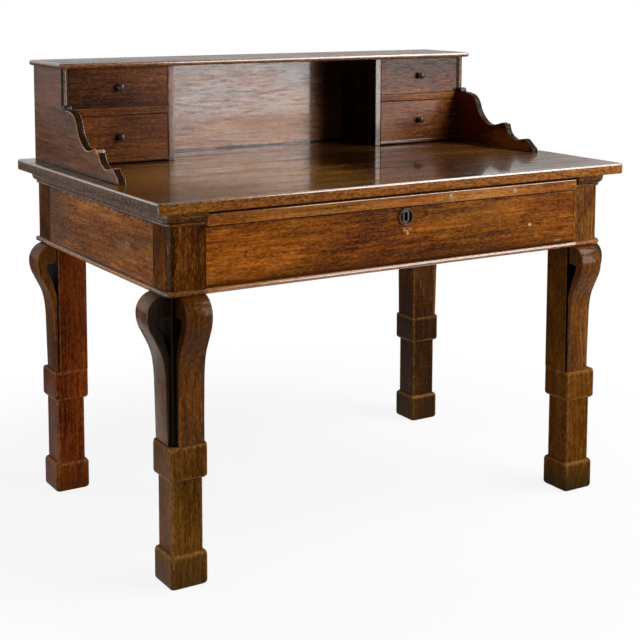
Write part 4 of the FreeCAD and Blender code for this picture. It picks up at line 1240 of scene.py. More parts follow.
@dataclass
class Frame:
    """Corner blocks, aprons and mouldings: one upright profile carried along the plan of each piece."""

    face: tuple[float, float] = (0.552, 0.352)
    block_in: tuple[float, float] = (0.474, 0.280)
    corner_radius: float = 0.020
    low: float = 0.590
    high: float = 0.756
    bead_height: float = 0.011
    bead_out: float = 0.0095
    cornice_height: float = 0.029
    cornice_out: float = 0.017
    lip: float = 0.006
    lip_chamfer: float = 0.001
    lip_quirk: float = 0.0004
    astragal: tuple[float, float] = (0.0065, 0.0055)
    astragal_quirk: Span = (0.0012, 0.0004)
    hollow_rise: float = 0.0006
    wall_hold: float = 0.0015
    plain_corner: float = 0.0015
    plan_hold: float = 0.001
    lip_rub: float = 0.002
    bead_rub: Span = (0.003, 0.012)
    astragal_rub: Span = (0.0015, 0.007)
    rail_rub: float = 0.006
    apron_arris: float = 0.0007
    board: float = 0.024
    rail_depth: float = 0.072

    def bead_profile(self) -> list[tuple[float, float]]:
        """Returns the bottom bead: a half circle standing on a short flat."""
        return half_round(self.bead_out, self.low, self.bead_height, 12)

    def cornice_profile(self) -> list[tuple[float, float]]:
        """Returns the cornice from below: astragal, quarter round and lip."""
        tall, out = self.astragal
        start = self.high - self.cornice_height
        lip_out, lip_low = self.cornice_out, self.high - self.lip
        foot, chamfer, quirk = start + tall + self.hollow_rise, self.lip_chamfer, self.lip_quirk
        inward, upward = self.astragal_quirk
        rows = half_round(out, start, tall, 8) + [(out - inward, start + tall + upward)]
        wide, climb = lip_out - chamfer - out, lip_low - foot
        rows += [(out + wide * math.sin(a), foot + climb * (1.0 - math.cos(a)))
                 for a in np.linspace(0.0, math.pi / 2.0, 9)]
        return rows + [(lip_out - quirk, lip_low + quirk), (lip_out, lip_low + chamfer),
                       (lip_out, self.high - chamfer), (lip_out - chamfer, self.high)]

    def full_profile(self) -> np.ndarray:
        """Returns the whole height of a block: bead, plain face and cornice."""
        bead = [(0.0, self.low)] + self.bead_profile()
        start, end = self.low + self.bead_height, self.high - self.cornice_height
        wall = [(0.0, z) for z in (start, start + self.wall_hold, end - self.wall_hold, end)]
        return np.array(bead + wall + self.cornice_profile() + [(0.0, self.high)])

    def block(self, rounded: bool) -> Skin:
        """Returns a left block, with mouldings.

        The plan is a loop: out along the left face, round the corner, back along the end face and home over
        the inner corner, with points a hold's length inside each flat's ends. Each level moves the outer
        stretch along its own normals by the profile's reach.

        Args:
            rounded: True for the front block, with mouldings on two sides; False for a plain rear one,
                drawn at the front, with mouldings on the left only.

        Returns:
            The block's skin.
        """
        (face_x, face_y), (in_x, in_y) = self.face, self.block_in
        radius, hold = self.corner_radius if rounded else self.plain_corner, self.plan_hold
        angle = np.linspace(0.0, math.pi / 2.0, 9)
        round_normal = np.stack([-np.cos(angle), -np.sin(angle)], axis=-1)
        centre = np.array([radius - face_x, radius - face_y])
        plan = np.concatenate([
            [(-face_x, -in_y), (-face_x, -in_y - hold), (-face_x, centre[1] + hold)],
            centre + radius * round_normal,
            [(centre[0] + hold, -face_y), (-in_x - hold, -face_y), (-in_x, -face_y), (-in_x, -in_y)]])
        left, front = (-1.0, 0.0), (0.0, -1.0 if rounded else 0.0)
        corner = round_normal if rounded else [left] * len(angle)
        normals = np.concatenate([[left] * 3, corner, [front] * 3, [(0.0, 0.0)]])
        out, z = self.full_profile().T
        rubbed = ((self.cornice_out - self.lip_rub, math.inf),
                  (self.bead_out - self.bead_rub[0], self.low + self.bead_rub[1]),
                  (self.astragal[1] - self.astragal_rub[0],
                   self.high - self.cornice_height + self.astragal_rub[1]))
        raised = np.any([(out > reach) & (z < below) for reach, below in rubbed], axis=0)
        skin = loft(stacked(plan + normals * out[:, None, None], z), raised[:, None] * 1.0)
        band = np.arange(len(skin.faces)) // len(plan)
        wall = len(self.bead_profile()) + 1
        moulded = (band < wall) | (band >= wall + 3) & (band < len(out) - 1)
        at_x, at_y, _ = np.abs(skin.middles()).T
        return replace(skin, finish=moulded * (1 + (at_y - face_y > at_x - face_x)))

    def run(self, section: Sequence[tuple[float, float]], axis: int, rub: float) -> Skin:
        """Carries a section along one side of the frame, between the blocks.

        A point at reach r and height z lies r outside the frame's face, z above the floor.

        Args:
            section: reaches and heights, in order round the section.
            axis: 0 for a run along the front, 1 for one along the left side.
            rub: the reach past which the section is rubbed.

        Returns:
            The closed skin.
        """
        out, z = np.array(section).T
        points = np.zeros((2, len(out), 3))
        points[..., 1 - axis] = -self.face[1 - axis] - out
        points[..., axis] = np.array([[-1.0], [1.0]]) * self.block_in[axis]
        points[..., 2] = z
        return loft(points, (out > rub) * 1.0)

    def strip(self, profile: Sequence[tuple[float, float]]) -> Skin:
        """Returns a moulding along the left apron, closed at the apron's face."""
        section = [(0.0, profile[0][1]), *profile, (0.0, profile[-1][1])]
        return self.run(section, 1, max(profile)[0] * 0.8)

    def rail(self) -> Skin:
        """Returns the front rail: the bead's section with a board behind it."""
        back, low, high = -self.rail_depth, self.low, self.low + self.bead_height
        section = [(back, low), (0.0, low), *self.bead_profile(), (0.0, high), (back, high)]
        return self.run(section, 0, self.rail_rub)

    def build(self) -> None:
        """Makes blocks, aprons, mouldings and rail, and dresses the hidden boards."""
        (face_x, face_y), in_y = self.face, self.block_in[1]
        front, rear = self.block(True), self.block(False)
        cornice, bead = self.strip(self.cornice_profile()), self.strip(self.bead_profile())
        apron = eased_box((-face_x, -in_y, self.low), (-face_x + self.board, in_y, self.high),
                          self.apron_arris)
        front_mould = FRONT_MOULD.dress(Grain.ALONG_X, 16)
        for index, side in enumerate(Side):
            tag, sign = side.value
            x = sign * -face_x
            mould = SIDE_MOULD.dress(Grain.ALONG_Y, 21 + index)
            block_wood = BLOCK_WALNUT if side is Side.LEFT else RIGHT_BLOCK_WALNUT
            # Painted shade: a dark band down the front block's rounded corner.
            corner = (Mark((x, -face_y, 0.670), (0.017, 0.017, ENDLESS), (0.010, 0.0035, 0.0008), 0.7),)
            # Painted shade: a near-black band along the apron under the cornice; a greyer patch towards the
            # back; and on the left, two light flecked patches.
            painted_shade_and_light_patches = (Mark((x, 0.0, 0.742), (0.05, ENDLESS, 0.024), (0.024, 0.014, 0.007), 0.8),
                       Mark((x, 0.285, 0.670), (0.05, 0.150, ENDLESS), (0.075, 0.040, 0.024), 0.6))
            if side is Side.LEFT:
                painted_shade_and_light_patches += (Mark((x, -0.156, 0.660), (0.05, 0.017, 0.012), (0.42, 0.23, 0.10), 0.8, True),
                            Mark((x, -0.140, 0.652), (0.05, 0.045, 0.020), (0.26, 0.125, 0.045), 0.35))
            for name, skin, sign_y, node, slot, finishes in (
                    ("corner_block_front_", front, 1, "block_front_", "walnut_block",
                     [block_wood.dress(Grain.ALONG_Z, 11 + index, corner), mould, front_mould]),
                    ("corner_block_rear_", rear, -1, "block_rear_", "walnut_block",
                     [BLOCK_WALNUT.dress(Grain.ALONG_Z, 13 + index), mould, front_mould]),
                    ("apron_board_", apron, 1, "apron_", "walnut_side",
                     [SIDE_WALNUT.dress(Grain.ALONG_Y, 23 + index, painted_shade_and_light_patches)]),
                    ("cornice_run_", cornice, 1, "cornice_", "walnut_side", [mould]),
                    ("bead_run_", bead, 1, "bead_", "walnut_side", [BEAD_WALNUT.dress(Grain.ALONG_Y, 17)])):
                piece(name + tag, [skin.turned_over(sign, sign_y)], [node + tag], finishes)
            for node in ("runner_", "kicker_"):
                dress_node(node + tag, LINING_WALNUT.dress(Grain.ALONG_Y, 5))
        piece("drawer_rail", [self.rail()], ["front_rail"],
              [MOULD_WALNUT.dress(Grain.ALONG_X, 31)])
        dress_node("apron_back", SIDE_WALNUT.dress(Grain.ALONG_X, 27))


@dataclass
class Top:
    """The table top, with a small pocket for the lock's bolt."""

    half: tuple[float, float] = (0.590, 0.390)
    corner: float = 0.008
    upper_edge: float = 0.0038
    lower_edge: float = 0.0030
    span: Span = (0.756, 0.780)
    pocket: tuple[float, ...] = (-0.3355, 0.014, 0.0045, 0.7665)
    marks: tuple = (
        # Painted sheen: a light warm patch where the back board's reflection lies on the top.
        Mark((-0.260, -0.130, 0.780), (0.32, 0.32, 0.05), (0.31, 0.130, 0.016), 0.85),
        # Painted reflection: a dark patch where the top mirrors the gallery's dark right end.
        Mark((0.120, -0.060, 0.780), (0.17, 0.32, 0.05), (0.024, 0.006, 0.0010), 0.85),
        Mark((0.480, -0.160, 0.780), (0.30, 0.34, 0.05), (0.110, 0.046, 0.012), 0.35, dull=0.7),
        Mark((-0.520, -0.300, 0.780), (0.26, 0.30, 0.05), (0.150, 0.056, 0.008), 0.4, dull=0.65),
        # Painted highlight: a pale line along the foot of the right wing.
        Mark((0.5360, 0.020, 0.780), (0.0050, 0.165, 0.05), (0.62, 0.42, 0.27), 0.75, ragged=0.4),
    )

    def build(self) -> None:
        """Makes the top."""
        skin = edged_board(self.half, 0.0, self.corner, self.span, self.upper_edge, self.lower_edge,
                           self.pocket)
        piece("top_board", [skin], ["table_top"],
              [TOP_WALNUT.dress(Grain.ALONG_X, 2, self.marks), EDGE_WALNUT.dress(Grain.ALONG_X, 3),
               ARRIS_WALNUT.dress(Grain.ALONG_X, 4), FLANK_WALNUT.dress(Grain.ALONG_Y, 5)])


@dataclass
class LongDrawer:
    """The long drawer: front, planted strip, dovetailed box, ring and keyhole lining, lock."""

    half: float = 0.4725
    front: float = -0.352
    strip_z: Span = (0.7235, 0.7480)
    strip_out: float = 0.0105
    strip_round: float = 0.0026
    strip_rub: float = 0.001
    keyhole: tuple[float, float] = (0.0, 0.7005)
    ring_radius: float = 0.0193
    ring_height: float = 0.0048
    ring_hole: float = 0.0050
    ring_floor: float = 0.12
    ring_wall: tuple[Span, ...] = (
        (0.0, 0.5), (0.0005, 0.78), (0.0016, 0.95), (0.0030, 1.0), (0.0042, 0.95), (0.0052, 0.7),
        (0.0058, 0.15))
    # Painted shade on the ring's sunk floor, from the wall inwards, and the inset from the rim past which the
    # floor takes the near-black finish.
    ring_painted_shade: tuple[float, ...] = (0.5, 0.95, 0.95, 0.95)
    shade_inset: float = 0.0056
    slot_straight: float = 0.0058
    slot_bend: float = 0.0060
    band: float = 0.0028
    front_arris: float = 0.0011
    box_arris: float = 0.0005
    metal_arris: float = 0.0006
    plugs: tuple[Span, ...] = ((0.112, 0.7364), (0.289, 0.7350))
    plug_profile: tuple[Span, ...] = (
        (0.0, 0.0), (0.0056, 0.0), (0.0056, 0.0002), (0.0048, 0.0005), (0.0, 0.0006))
    marks: tuple[Mark, ...] = (
        Mark((0.0045, -0.352, 0.6725), (0.0150, 0.03, 0.0045), (0.66, 0.38, 0.18), 1.0, True),
        Mark((0.0060, -0.352, 0.6650), (0.0040, 0.03, 0.0060), (0.60, 0.33, 0.15), 0.9),
        Mark((0.3436, -0.352, 0.6530), (0.0055, 0.03, 0.0042), (0.66, 0.42, 0.22), 0.95),
        Mark((0.4251, -0.352, 0.6085), (0.012, 0.03, 0.0034), (0.55, 0.34, 0.17), 0.8),
        Mark((-0.385, -0.352, 0.6590), (0.004, 0.03, 0.011), (0.04, 0.012, 0.003), 0.7),
        # Painted shadow: a thin near-black line under the strip.
        Mark((0.0, -0.352, 0.7222), (ENDLESS, 0.05, 0.0030), (0.010, 0.003, 0.001), 0.9),
        Mark((0.0, -0.352, 0.6040), (ENDLESS, 0.05, 0.0050), (0.030, 0.008, 0.001), 0.7),
        Mark((0.0, -0.352, 0.6050), (ENDLESS, 0.05, 0.0320), (0.060, 0.020, 0.002), 0.4),
        # Painted shade: a near-black patch inside the ring, behind the keyhole lining.
        Mark((0.0, -0.352, 0.7005), (0.0115, 0.04, 0.0135), (0.003, 0.002, 0.001), 1.0),
    )

    def ring(self) -> Skin:
        """Returns the turned ring: a round wooden wall with a sunk floor, painted dark as shade, for the
        keyhole lining.

        The wall's profile is given as insets from the radius and shares of the height.
        """
        r, h, around = self.ring_radius, self.ring_height, 64
        x, z = self.keyhole
        rows = [(self.ring_hole, 0.0), (r, 0.0)]
        rows += [(r - inset, h * share) for inset, share in self.ring_wall]
        rows += [(self.ring_hole, h * self.ring_floor)]
        # The sunk floor takes painted shade and the near-black finish, as the shade of the deep keyhole
        # recess.
        shade_share = np.array([0.0] * (len(rows) - len(self.ring_painted_shade)) + list(self.ring_painted_shade))
        skin = replace(turned(rows, (x, self.front, z), around), grime=np.repeat(shade_share, around))
        return picked(skin, lambda at: np.hypot(at[:, 0] - x, at[:, 2] - z) < r - self.shade_inset)

    def lining(self) -> Skin:
        """Returns the metal lining: a round-edged band carried round an upright slot with half-round ends."""
        angle = np.linspace(0.0, math.pi, 13)
        bend = np.stack([np.cos(angle), np.sin(angle)], axis=-1)
        path = bend * self.slot_bend + np.array([0.0, self.slot_straight])
        turn = np.linspace(0.0, 2.0 * math.pi, 12, endpoint=False)
        across = self.band * np.cos(turn)
        rise = self.band / 2.0 + self.band / 2.0 * np.sin(turn)
        normal = np.concatenate([bend, -bend])
        flat = np.concatenate([path, -path])[:, None, :] + normal[:, None, :] * across[None, :, None]
        points = stacked(flat, np.zeros(len(flat)))[..., [0, 2, 1]]
        points += np.array([self.keyhole[0], self.front, self.keyhole[1]])
        points[..., 1] -= rise
        count, around = points.shape[:2]
        # Painted shade on the band's inner side, facing the slot.
        inner = np.broadcast_to(np.clip(-np.cos(turn) * 1.6 - 0.2, 0.0, 0.97), (count, around))
        return Skin(points.reshape(-1, 3), ring_faces(count, around, True), np.zeros(count * around),
                    inner.reshape(-1))

    def build(self) -> None:
        """Makes the drawer's pieces."""
        body, wood = "long_drawer", "walnut_front"
        lining, metal = LINING_WALNUT.dress(Grain.ALONG_Y, 6), LOCK_METAL.dress()
        low, high = self.strip_z
        strip = eased_box((-self.half, self.front - self.strip_out, low), (self.half, self.front, high),
                          self.strip_round, 3)
        strip = picked(strip, lambda at: (at[:, 2] > high - self.strip_round)
                       & (at[:, 1] < self.front - self.strip_rub))
        eased_copy("long_front", "drawer_front", body,
                   FRONT_WALNUT.dress(Grain.ALONG_X, 33, self.marks),
                   FRONT_WALNUT.dress(Grain.ALONG_X, 34, worn=True), self.front_arris)
        piece("long_strip", [strip], ["drawer_strip"],
              [STRIP_WALNUT.dress(Grain.ALONG_X, 35), ARRIS_WALNUT.dress(Grain.ALONG_X, 36)], body)
        eased_copy("long_box", "drawer_box", body, lining, lining, self.box_arris)
        piece("keyhole_ring", [self.ring()], ["escutcheon"],
              [RIM_BROWN.dress(), KEYHOLE_SHADE_BLACK.dress()], body, 50.0)
        piece("keyhole_lining", [self.lining()], [], [SLOT_METAL.dress()], body, 70.0)
        eased_copy("lock_body", "lock_case", body, metal, metal, self.metal_arris)
        eased_copy("lock_tongue", "lock_bolt", "bolt", metal, metal, self.metal_arris)
        for index, (x, z) in enumerate(self.plugs):
            plug = turned(self.plug_profile, (x, self.front - self.strip_out, z), 24)
            piece(f"strip_plug_{index}", [plug], [], [PLUG_WOOD.dress(Grain.ALONG_Y, index)], body)


@dataclass
class Gallery:
    """The gallery: sides with scrolled wings, boards, top and four small drawers with turned knobs."""

    half: float = 0.557
    side: float = 0.018
    front: float = 0.178
    back: float = 0.355
    base: float = 0.780
    wing_top: float = 0.915
    top: float = 1.0015
    partition: Span = (0.2815, 0.298)
    shelf: Span = (0.892, 0.910)
    under: Span = (0.7835, 0.791)
    wing_length: float = 0.306
    wing_shares: tuple[tuple[Span, ...], ...] = (
        ((0.052, 0.955), (0.125, 0.952), (0.196, 0.912), (0.236, 0.838), (0.262, 0.735), (0.300, 0.582),
         (0.352, 0.474), (0.415, 0.402), (0.480, 0.390), (0.545, 0.420), (0.605, 0.458)),
        ((0.656, 0.390), (0.684, 0.277), (0.735, 0.202), (0.790, 0.174), (0.840, 0.198)),
        ((0.905, 0.205), (0.940, 0.140), (0.985, 0.070)),
    )
    roll_shares: tuple = (
        (0.026, 0.985, 1.0), (0.634, 0.414, 0.74), (0.880, 0.184, 0.68), (0.975, 0.045, 0.62))
    roll_radius: float = 0.008
    roll_eye: tuple[Span, ...] = ((0.0, -0.0004), (0.4, -0.0003), (0.5, 0.0006))
    roll_rim: float = 0.0001
    swell: float = 0.0016
    knob_radius: float = 0.0085
    knob_length: float = 0.017
    knob_shares: tuple[Span, ...] = (
        (0.0, 0.0), (0.72, 0.0), (0.74, 0.06), (0.66, 0.12), (0.48, 0.20), (0.46, 0.32), (0.66, 0.42),
        (0.95, 0.54), (1.0, 0.66), (0.90, 0.80), (0.62, 0.90), (0.34, 0.94), (0.30, 0.97), (0.16, 1.0),
        (0.0, 1.0))
    roll_stand: Span = (0.0012, 0.0002)
    arris: float = 0.0018
    flat_depth: float = 0.0001
    nose: float = 0.0044
    flank_hollow: tuple[Span, ...] = ((0.0, 0.0065), (0.0006, 0.0042), (0.0018, 0.0036))
    nose_hollow: tuple[Span, ...] = ((-0.0006, 0.0040), (0.0, 0.0064))
    setback: float = 0.003
    partition_setback: float = 0.0025
    partition_arris: float = 0.0018
    shelf_arris: float = 0.0022
    under_arris: float = 0.0016
    front_arris: float = 0.0009
    box_arris: float = 0.0004
    # How far behind the front the boards' faces begin to take painted shade.
    shade_depth: float = 0.005
    # How far left of the knob its painted shadow lies.
    knob_shadow_aside: float = 0.003
    rear_gap: float = 0.012
    lid_half: Span = (0.567, 0.098)
    lid_middle: float = 0.262
    lid_height: float = 0.012
    lid_corner: float = 0.005
    lid_edges: Span = (0.0052, 0.0045)

    def at(self, along: float, up: float) -> tuple[float, float]:
        """Returns Y and Z of a place on the wing, from its shares."""
        return self.front - self.wing_length * along, self.base + (self.wing_top - self.base) * up

    def wing(self) -> list[Skin]:
        """Returns the lower left side: the outline of arcs, 18 mm thick, and a roll at each tip."""
        curve = np.concatenate([arcs_through([self.at(*share) for share in chain])
                                for chain in self.wing_shares])
        outline = np.concatenate([[(self.back, self.wing_top), (self.front, self.wing_top)], curve,
                                  [self.at(1.0, 0.0), (self.back, self.base)]])
        free = (outline[:, 0] < self.back) & (outline[:, 1] < self.wing_top) & (outline[:, 1] > self.base)
        outline = outline + (drawn_in(outline, -self.swell) - outline) * free[:, None]
        exposed = np.ones(len(outline))
        exposed[[0, 1, -1]] = 0.0
        rings, wear = slab(outline, self.side, self.arris, 3, exposed)
        rings = rings[..., [2, 0, 1]] - np.array([self.half, 0.0, 0.0])
        board = loft(rings, wear * exposed[None, :])

        def bands(at: np.ndarray) -> np.ndarray:
            """Numbers the flat sides 0, the rounded arrises 1 and the band between them 2."""
            depth = np.minimum(at[:, 0] + self.half, self.side - self.half - at[:, 0])
            return (depth > self.flat_depth) * 1 + (depth > self.arris)

        skins = [picked(board, bands)]
        for along, up, size in self.roll_shares:
            y, z = self.at(along, up)
            roll = self.roll(y, max(z, self.base + self.roll_radius * size), self.roll_radius * size)
            skins.append(replace(roll, finish=3 if size == 1.0 else 1))
        return skins

    def roll(self, y: float, z: float, radius: float) -> Skin:
        """Returns a short roll across the wing: a cylinder with rounded ends and a raised eye.

        The eye is given as shares of the radius and rises over the end.
        """
        low, high = -self.half - self.roll_stand[0], -self.half + self.side + self.roll_stand[1]
        ease = min(self.arris, radius * 0.4)
        rows = [(radius * share, low + rise) for share, rise in self.roll_eye]
        rows += [(radius - ease, low + self.roll_rim), (radius - ease * 0.3, low + ease * 0.3),
                 (radius, low + ease), (radius, high - ease), (radius - ease * 0.3, high - ease * 0.3),
                 (radius - ease, high), (0.0, high)]
        shape = np.array(rows)
        angle = np.linspace(0.0, 2.0 * math.pi, 28, endpoint=False)
        rings = np.stack([shape[:, 1:] + 0.0 * angle, y + shape[:, :1] * np.cos(angle),
                          z + shape[:, :1] * np.sin(angle)], axis=-1)
        return loft(rings, np.ones((len(rows), 1)))

    def upper_side(self) -> Skin:
        """Returns the upper left side: its plan has a round nose between two fine hollows at the front.

        The hollows are given from the side's flank and from the nose, with depths behind the front.
        """
        middle, half, y = -self.half + self.side / 2.0, self.side / 2.0, self.front
        angle = np.linspace(math.pi, 2.0 * math.pi, 13)
        tip = self.nose * np.stack([np.cos(angle), 1.0 + np.sin(angle)], axis=-1)
        left = np.array([(-half, self.back - y), *((x - half, depth) for x, depth in self.flank_hollow),
                         *((x - self.nose, depth) for x, depth in self.nose_hollow)])
        plan = np.concatenate([left, tip, left[::-1] * np.array([-1.0, 1.0])]) + np.array([middle, y])
        place = np.arange(len(plan))
        from_end = np.minimum(place, len(plan) - 1 - place)
        # Painted shade in the two fine hollows beside the nose.
        shade_share = ((from_end >= 2) & (from_end <= 5)) * 0.95
        rings = stacked(np.stack([plan, plan]), (self.wing_top, self.top))
        skin = loft(rings, (from_end >= 8) * 1.0, shade_share)
        column = np.arange(len(skin.faces))
        return replace(skin, finish=((column >= 6) & (column < 18)).astype(int))

    def knob(self, x: float, z: float) -> Skin:
        """Returns a turned knob: a foot ring, a hollow neck and a flattened ball with a button."""
        profile = [(self.knob_radius * out, self.knob_length * up) for out, up in self.knob_shares]
        return turned(smoothed(profile, 2), (x, self.front + self.setback, z), 40)

    def build(self) -> None:
        """Makes the gallery's boards and the small drawers."""
        lid = edged_board(self.lid_half, self.lid_middle, self.lid_corner,
                          (self.top, self.top + self.lid_height), *self.lid_edges)
        piece("gallery_lid", [lid], ["gallery_top"],
              [LID_WALNUT.dress(Grain.ALONG_X, 41), TRIM_WALNUT.dress(Grain.ALONG_X, 40),
               ARRIS_WALNUT.dress(Grain.ALONG_X, 39), FLANK_WALNUT.dress(Grain.ALONG_Y, 38)])
        # Painted shadow over the back board's right end, and painted shade in a thin near-black line along
        # its foot.
        painted_shades = (Mark((0.290, self.back, 0.880), (0.140, 0.040, 0.300), (0.022, 0.006, 0.0015), 0.85,
                       ragged=0.15),
                  Mark((0.0, self.back, self.base), (ENDLESS, 0.2, 0.0048), (0.002, 0.001, 0.0006), 1.0))
        dress_node("gallery_back", BACK_WALNUT.dress(Grain.ALONG_X, 42, painted_shades))
        inner, rear = self.half - self.side, self.back - self.rear_gap
        wing, upper = self.wing(), self.upper_side()
        spans = {
            "partition_": (self.partition[1], self.partition[0], self.base, self.top,
                           self.partition_setback, self.partition_arris),
            "shelf_": (inner, self.partition[1], *self.shelf, self.setback, self.shelf_arris),
            "under_board_": (inner, self.partition[1], *self.under, self.setback, self.under_arris),
        }
        boards = {node: eased_box((-outer, self.front + setback, low), (-near, rear, high), ease, 3)
                  for node, (outer, near, low, high, setback, ease) in spans.items()}
        for index, side in enumerate(Side):
            tag, sign = side.value
            inner_x = sign * -inner
            left = side is Side.LEFT
            # The wings' arrises: light on the left, wear with painted highlight; near-black on the right,
            # painted shade.
            arris_lit_left_shaded_right = RUBBED_HIGHLIGHT_WALNUT if left else SHADE_AND_DARK_BAND_WALNUT
            # Painted light on the right wing's shaded inner face: a red wash over its middle and an orange
            # glow at its lower front.
            warm = () if left else (
                Mark((inner_x, 0.050, 0.860), (0.008, 0.250, 0.200), (0.120, 0.013, 0.0050), 0.9),
                Mark((inner_x, -0.060, 0.796), (0.008, 0.120, 0.040), (0.44, 0.140, 0.013), 0.8))
            piece("wing_board_" + tag, [skin.turned_over(sign, 1) for skin in wing], ["side_wing_" + tag],
                  [PANEL_WALNUT.dress(Grain.ALONG_Y, 43 + index, warm),
                   arris_lit_left_shaded_right.dress(Grain.ALONG_Y, 44 + 16 * index), SHADE_AND_DARK_BAND_WALNUT.dress(Grain.ALONG_Y, 45),
                   ROLL_BLACK.dress()], sharp=50.0)
            piece("upper_board_" + tag, [upper.turned_over(sign, 1)], ["side_upper_" + tag],
                  [PANEL_WALNUT.dress(Grain.ALONG_Y, 45 + index), NOSE_WALNUT.dress(Grain.ALONG_Z, 46)])
            for number, (node, skin) in enumerate(boards.items()):
                grain = Grain.ALONG_Z if node == "partition_" else Grain.ALONG_X
                trim = TRIM_WALNUT if left and node != "partition_" else NOSE_WALNUT
                finish = GALLERY_WALNUT if node == "shelf_" else trim
                # Faces behind the front take the near-black finish: painted shade inside the compartments.
                skin = picked(skin, lambda at: at[:, 1] > self.front + self.shade_depth)
                piece(node + "board_" + tag, [skin.turned_over(sign, 1)], [node + tag],
                      [finish.dress(grain, 47 + number * 2 + index), SHADE_AND_DARK_BAND_WALNUT.dress(grain, 53 + index)])
            self.small_drawers(tag, sign, index)

    def small_drawers(self, tag: str, sign: int, index: int) -> None:
        """Makes one side's two small drawers.

        Args:
            tag: "left" or "right".
            sign: 1 on the left, -1 on the right.
            index: 0 on the left, 1 on the right.
        """
        middle_x = -(self.half - self.side + self.partition[1]) / 2.0
        for number, (level, span) in enumerate({"upper": (self.shelf[1], self.top),
                                                "lower": (self.under[1], self.shelf[0])}.items()):
            name = f"{level}_{tag}"
            body = "small_drawer_" + name
            seed = 61 + index * 2 + number
            knob_z = (span[0] + span[1]) / 2.0
            # Painted shadow: a near-black patch just left of the knob.
            knob_shadow = Mark((sign * middle_x - self.knob_shadow_aside, self.front + self.setback, knob_z),
                           (0.011, 0.05, 0.010), (0.006, 0.003, 0.001), 0.9)
            eased_copy("front_" + name, "small_front_" + name, body,
                       (SHEEN_WALNUT if sign < 0 else GALLERY_WALNUT).dress(Grain.ALONG_X, seed, (knob_shadow,)),
                       GALLERY_WALNUT.dress(Grain.ALONG_X, 60, worn=True), self.front_arris)
            lining = LINING_WALNUT.dress(Grain.ALONG_Y, 7)
            eased_copy("box_" + name, "small_box_" + name, body, lining, lining,
                       self.box_arris)
            piece("knob_" + name, [self.knob(middle_x, knob_z).turned_over(sign, 1)], ["small_knob_" + name],
                  [KNOB_BLACK.dress()], body, 60.0)


# ---- Studio


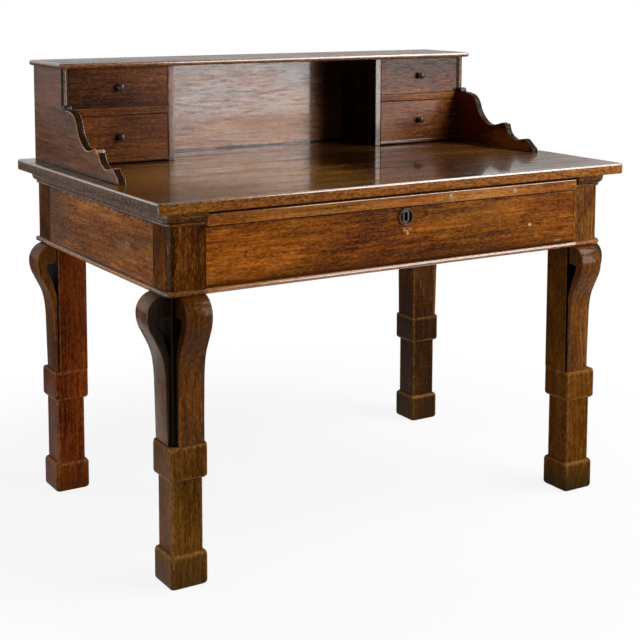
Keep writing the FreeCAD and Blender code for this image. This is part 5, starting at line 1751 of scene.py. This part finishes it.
@dataclass
class Studio:
    """Pale floor, white backdrop, soft lamps and the camera."""

    place: tuple[float, float, float] = (-1.6514, -2.6771, 1.1830)
    yaw: float = 31.737
    pitch: float = 6.417
    roll: float = 0.163
    focal: float = 76.58
    shift: float = -0.28125
    lamps: tuple = (
        ("key", (2.32, -3.0, 1.60), (2.2, 0.0, 1.60), (2.1, 2.5), 130.0),
        ("above", (2.1, -1.1, 3.0), (0.2, -0.1, 0.7), (1.5, 1.5), 66.0),
        ("rear", (-2.5, 2.1, 1.3), (-0.5, 0.0, 0.7), (2.2, 1.8), 12.0),
        ("low", (-2.7, -0.6, 0.40), (-0.5, 0.0, 0.50), (1.8, 0.6), 27.0),
    )
    surroundings: float = 0.11
    front_room: float = 0.10
    back_room: float = 0.7
    floor_half: float = 14.0

    def world(self) -> None:
        """Lights the scene evenly, and shows the white backdrop to camera, glass and gloss.

        A glossy ray meets white where it leaves backwards, past the table, and the dim front of the room
        where it leaves forwards.
        """
        s = Shader(bpy.data.worlds.new("studio"))
        heading = s.signal(s.node("ShaderNodeTexCoord"), "Generated")
        back = s.signal(s.node("ShaderNodeSeparateXYZ", None, {0: heading}), 1)
        gloss = self.front_room + back.within(-0.1, 0.25) * (self.back_room - self.front_room)
        lit = self.surroundings + s.glossy() * (gloss - self.surroundings)
        strength = lit + s.seen() * (1.0 - lit)
        white = s.node("ShaderNodeBackground", None, {"Color": (1.0, 1.0, 1.0, 1.0), "Strength": strength})
        s.node("ShaderNodeOutputWorld", None, {0: s.signal(white)})
        bpy.context.scene.world = s.owner

    def floor(self) -> None:
        """Lays a wide pale floor that keeps a soft shadow and turns white away from the table."""
        mesh = bpy.data.meshes.new("floor")
        corners = np.array([(-1.0, -1.0, 0.0), (1.0, -1.0, 0.0), (1.0, 1.0, 0.0), (-1.0, 1.0, 0.0)])
        mesh.from_pydata((corners * self.floor_half).tolist(), [], [(0, 1, 2, 3)])
        thing = linked("floor", mesh)
        s = Shader(bpy.data.materials.new("floor"))
        away = s.length(s.place())
        seen = s.seen()
        pale = s.mix(seen, (0.30, 0.30, 0.30), (0.88, 0.88, 0.88))
        seen = s.maths("MAXIMUM", seen, s.glossy() * (0.85 - away.within(1.0, 1.7) * 0.8))
        matt = s.node("ShaderNodeBsdfDiffuse", None, {"Color": pale})
        glow = s.node("ShaderNodeEmission", None, {"Color": (1.0, 1.0, 1.0, 1.0), "Strength": 1.0})
        share = seen * (0.88 + away.within(0.6, 1.4) * 0.12)
        mixer = s.node("ShaderNodeMixShader", None, {0: share, 1: s.signal(matt), 2: s.signal(glow)})
        s.node("ShaderNodeOutputMaterial", None, {0: s.signal(mixer)})
        mesh.materials.append(s.owner)

    def lights(self) -> None:
        """Hangs soft rectangular lamps that face the table."""
        for name, place, target, size, power in self.lamps:
            lamp = bpy.data.lights.new(name, "AREA")
            lamp.shape = "RECTANGLE"
            lamp.energy = power
            lamp.size, lamp.size_y = size
            thing = linked(name, lamp)
            thing.location = place
            thing.rotation_euler = (Vector(target) - Vector(place)).to_track_quat("-Z", "Y").to_euler()

    def camera(self) -> None:
        """Sets the camera where the photograph was taken from."""
        lens = bpy.data.cameras.new("camera")
        lens.lens = self.focal
        lens.sensor_width = 36.0
        lens.shift_y = self.shift
        thing = linked("camera", lens)
        thing.location = self.place
        turn = Euler((math.radians(90.0 - self.pitch), 0.0, math.radians(-self.yaw)), "XYZ").to_matrix()
        spin = Euler((0.0, 0.0, math.radians(self.roll)), "XYZ").to_matrix()
        thing.rotation_euler = (turn @ spin).to_euler()
        bpy.context.scene.camera = thing
        bpy.context.scene.view_settings.view_transform = "Standard"

    def build(self) -> None:
        """Sets up world, floor, lamps and camera."""
        self.world()
        self.floor()
        self.lights()
        self.camera()


def main() -> None:
    """Builds the sub-assemblies in order."""
    logging.basicConfig(level=logging.INFO, format="%(name)s %(message)s")
    for part in (Legs(), Frame(), Top(), LongDrawer(), Gallery(), Studio()):
        LOG.info("building %s", type(part).__name__)
        part.build()
    bpy.context.view_layer.update()


if __name__ == "__main__":
    main()
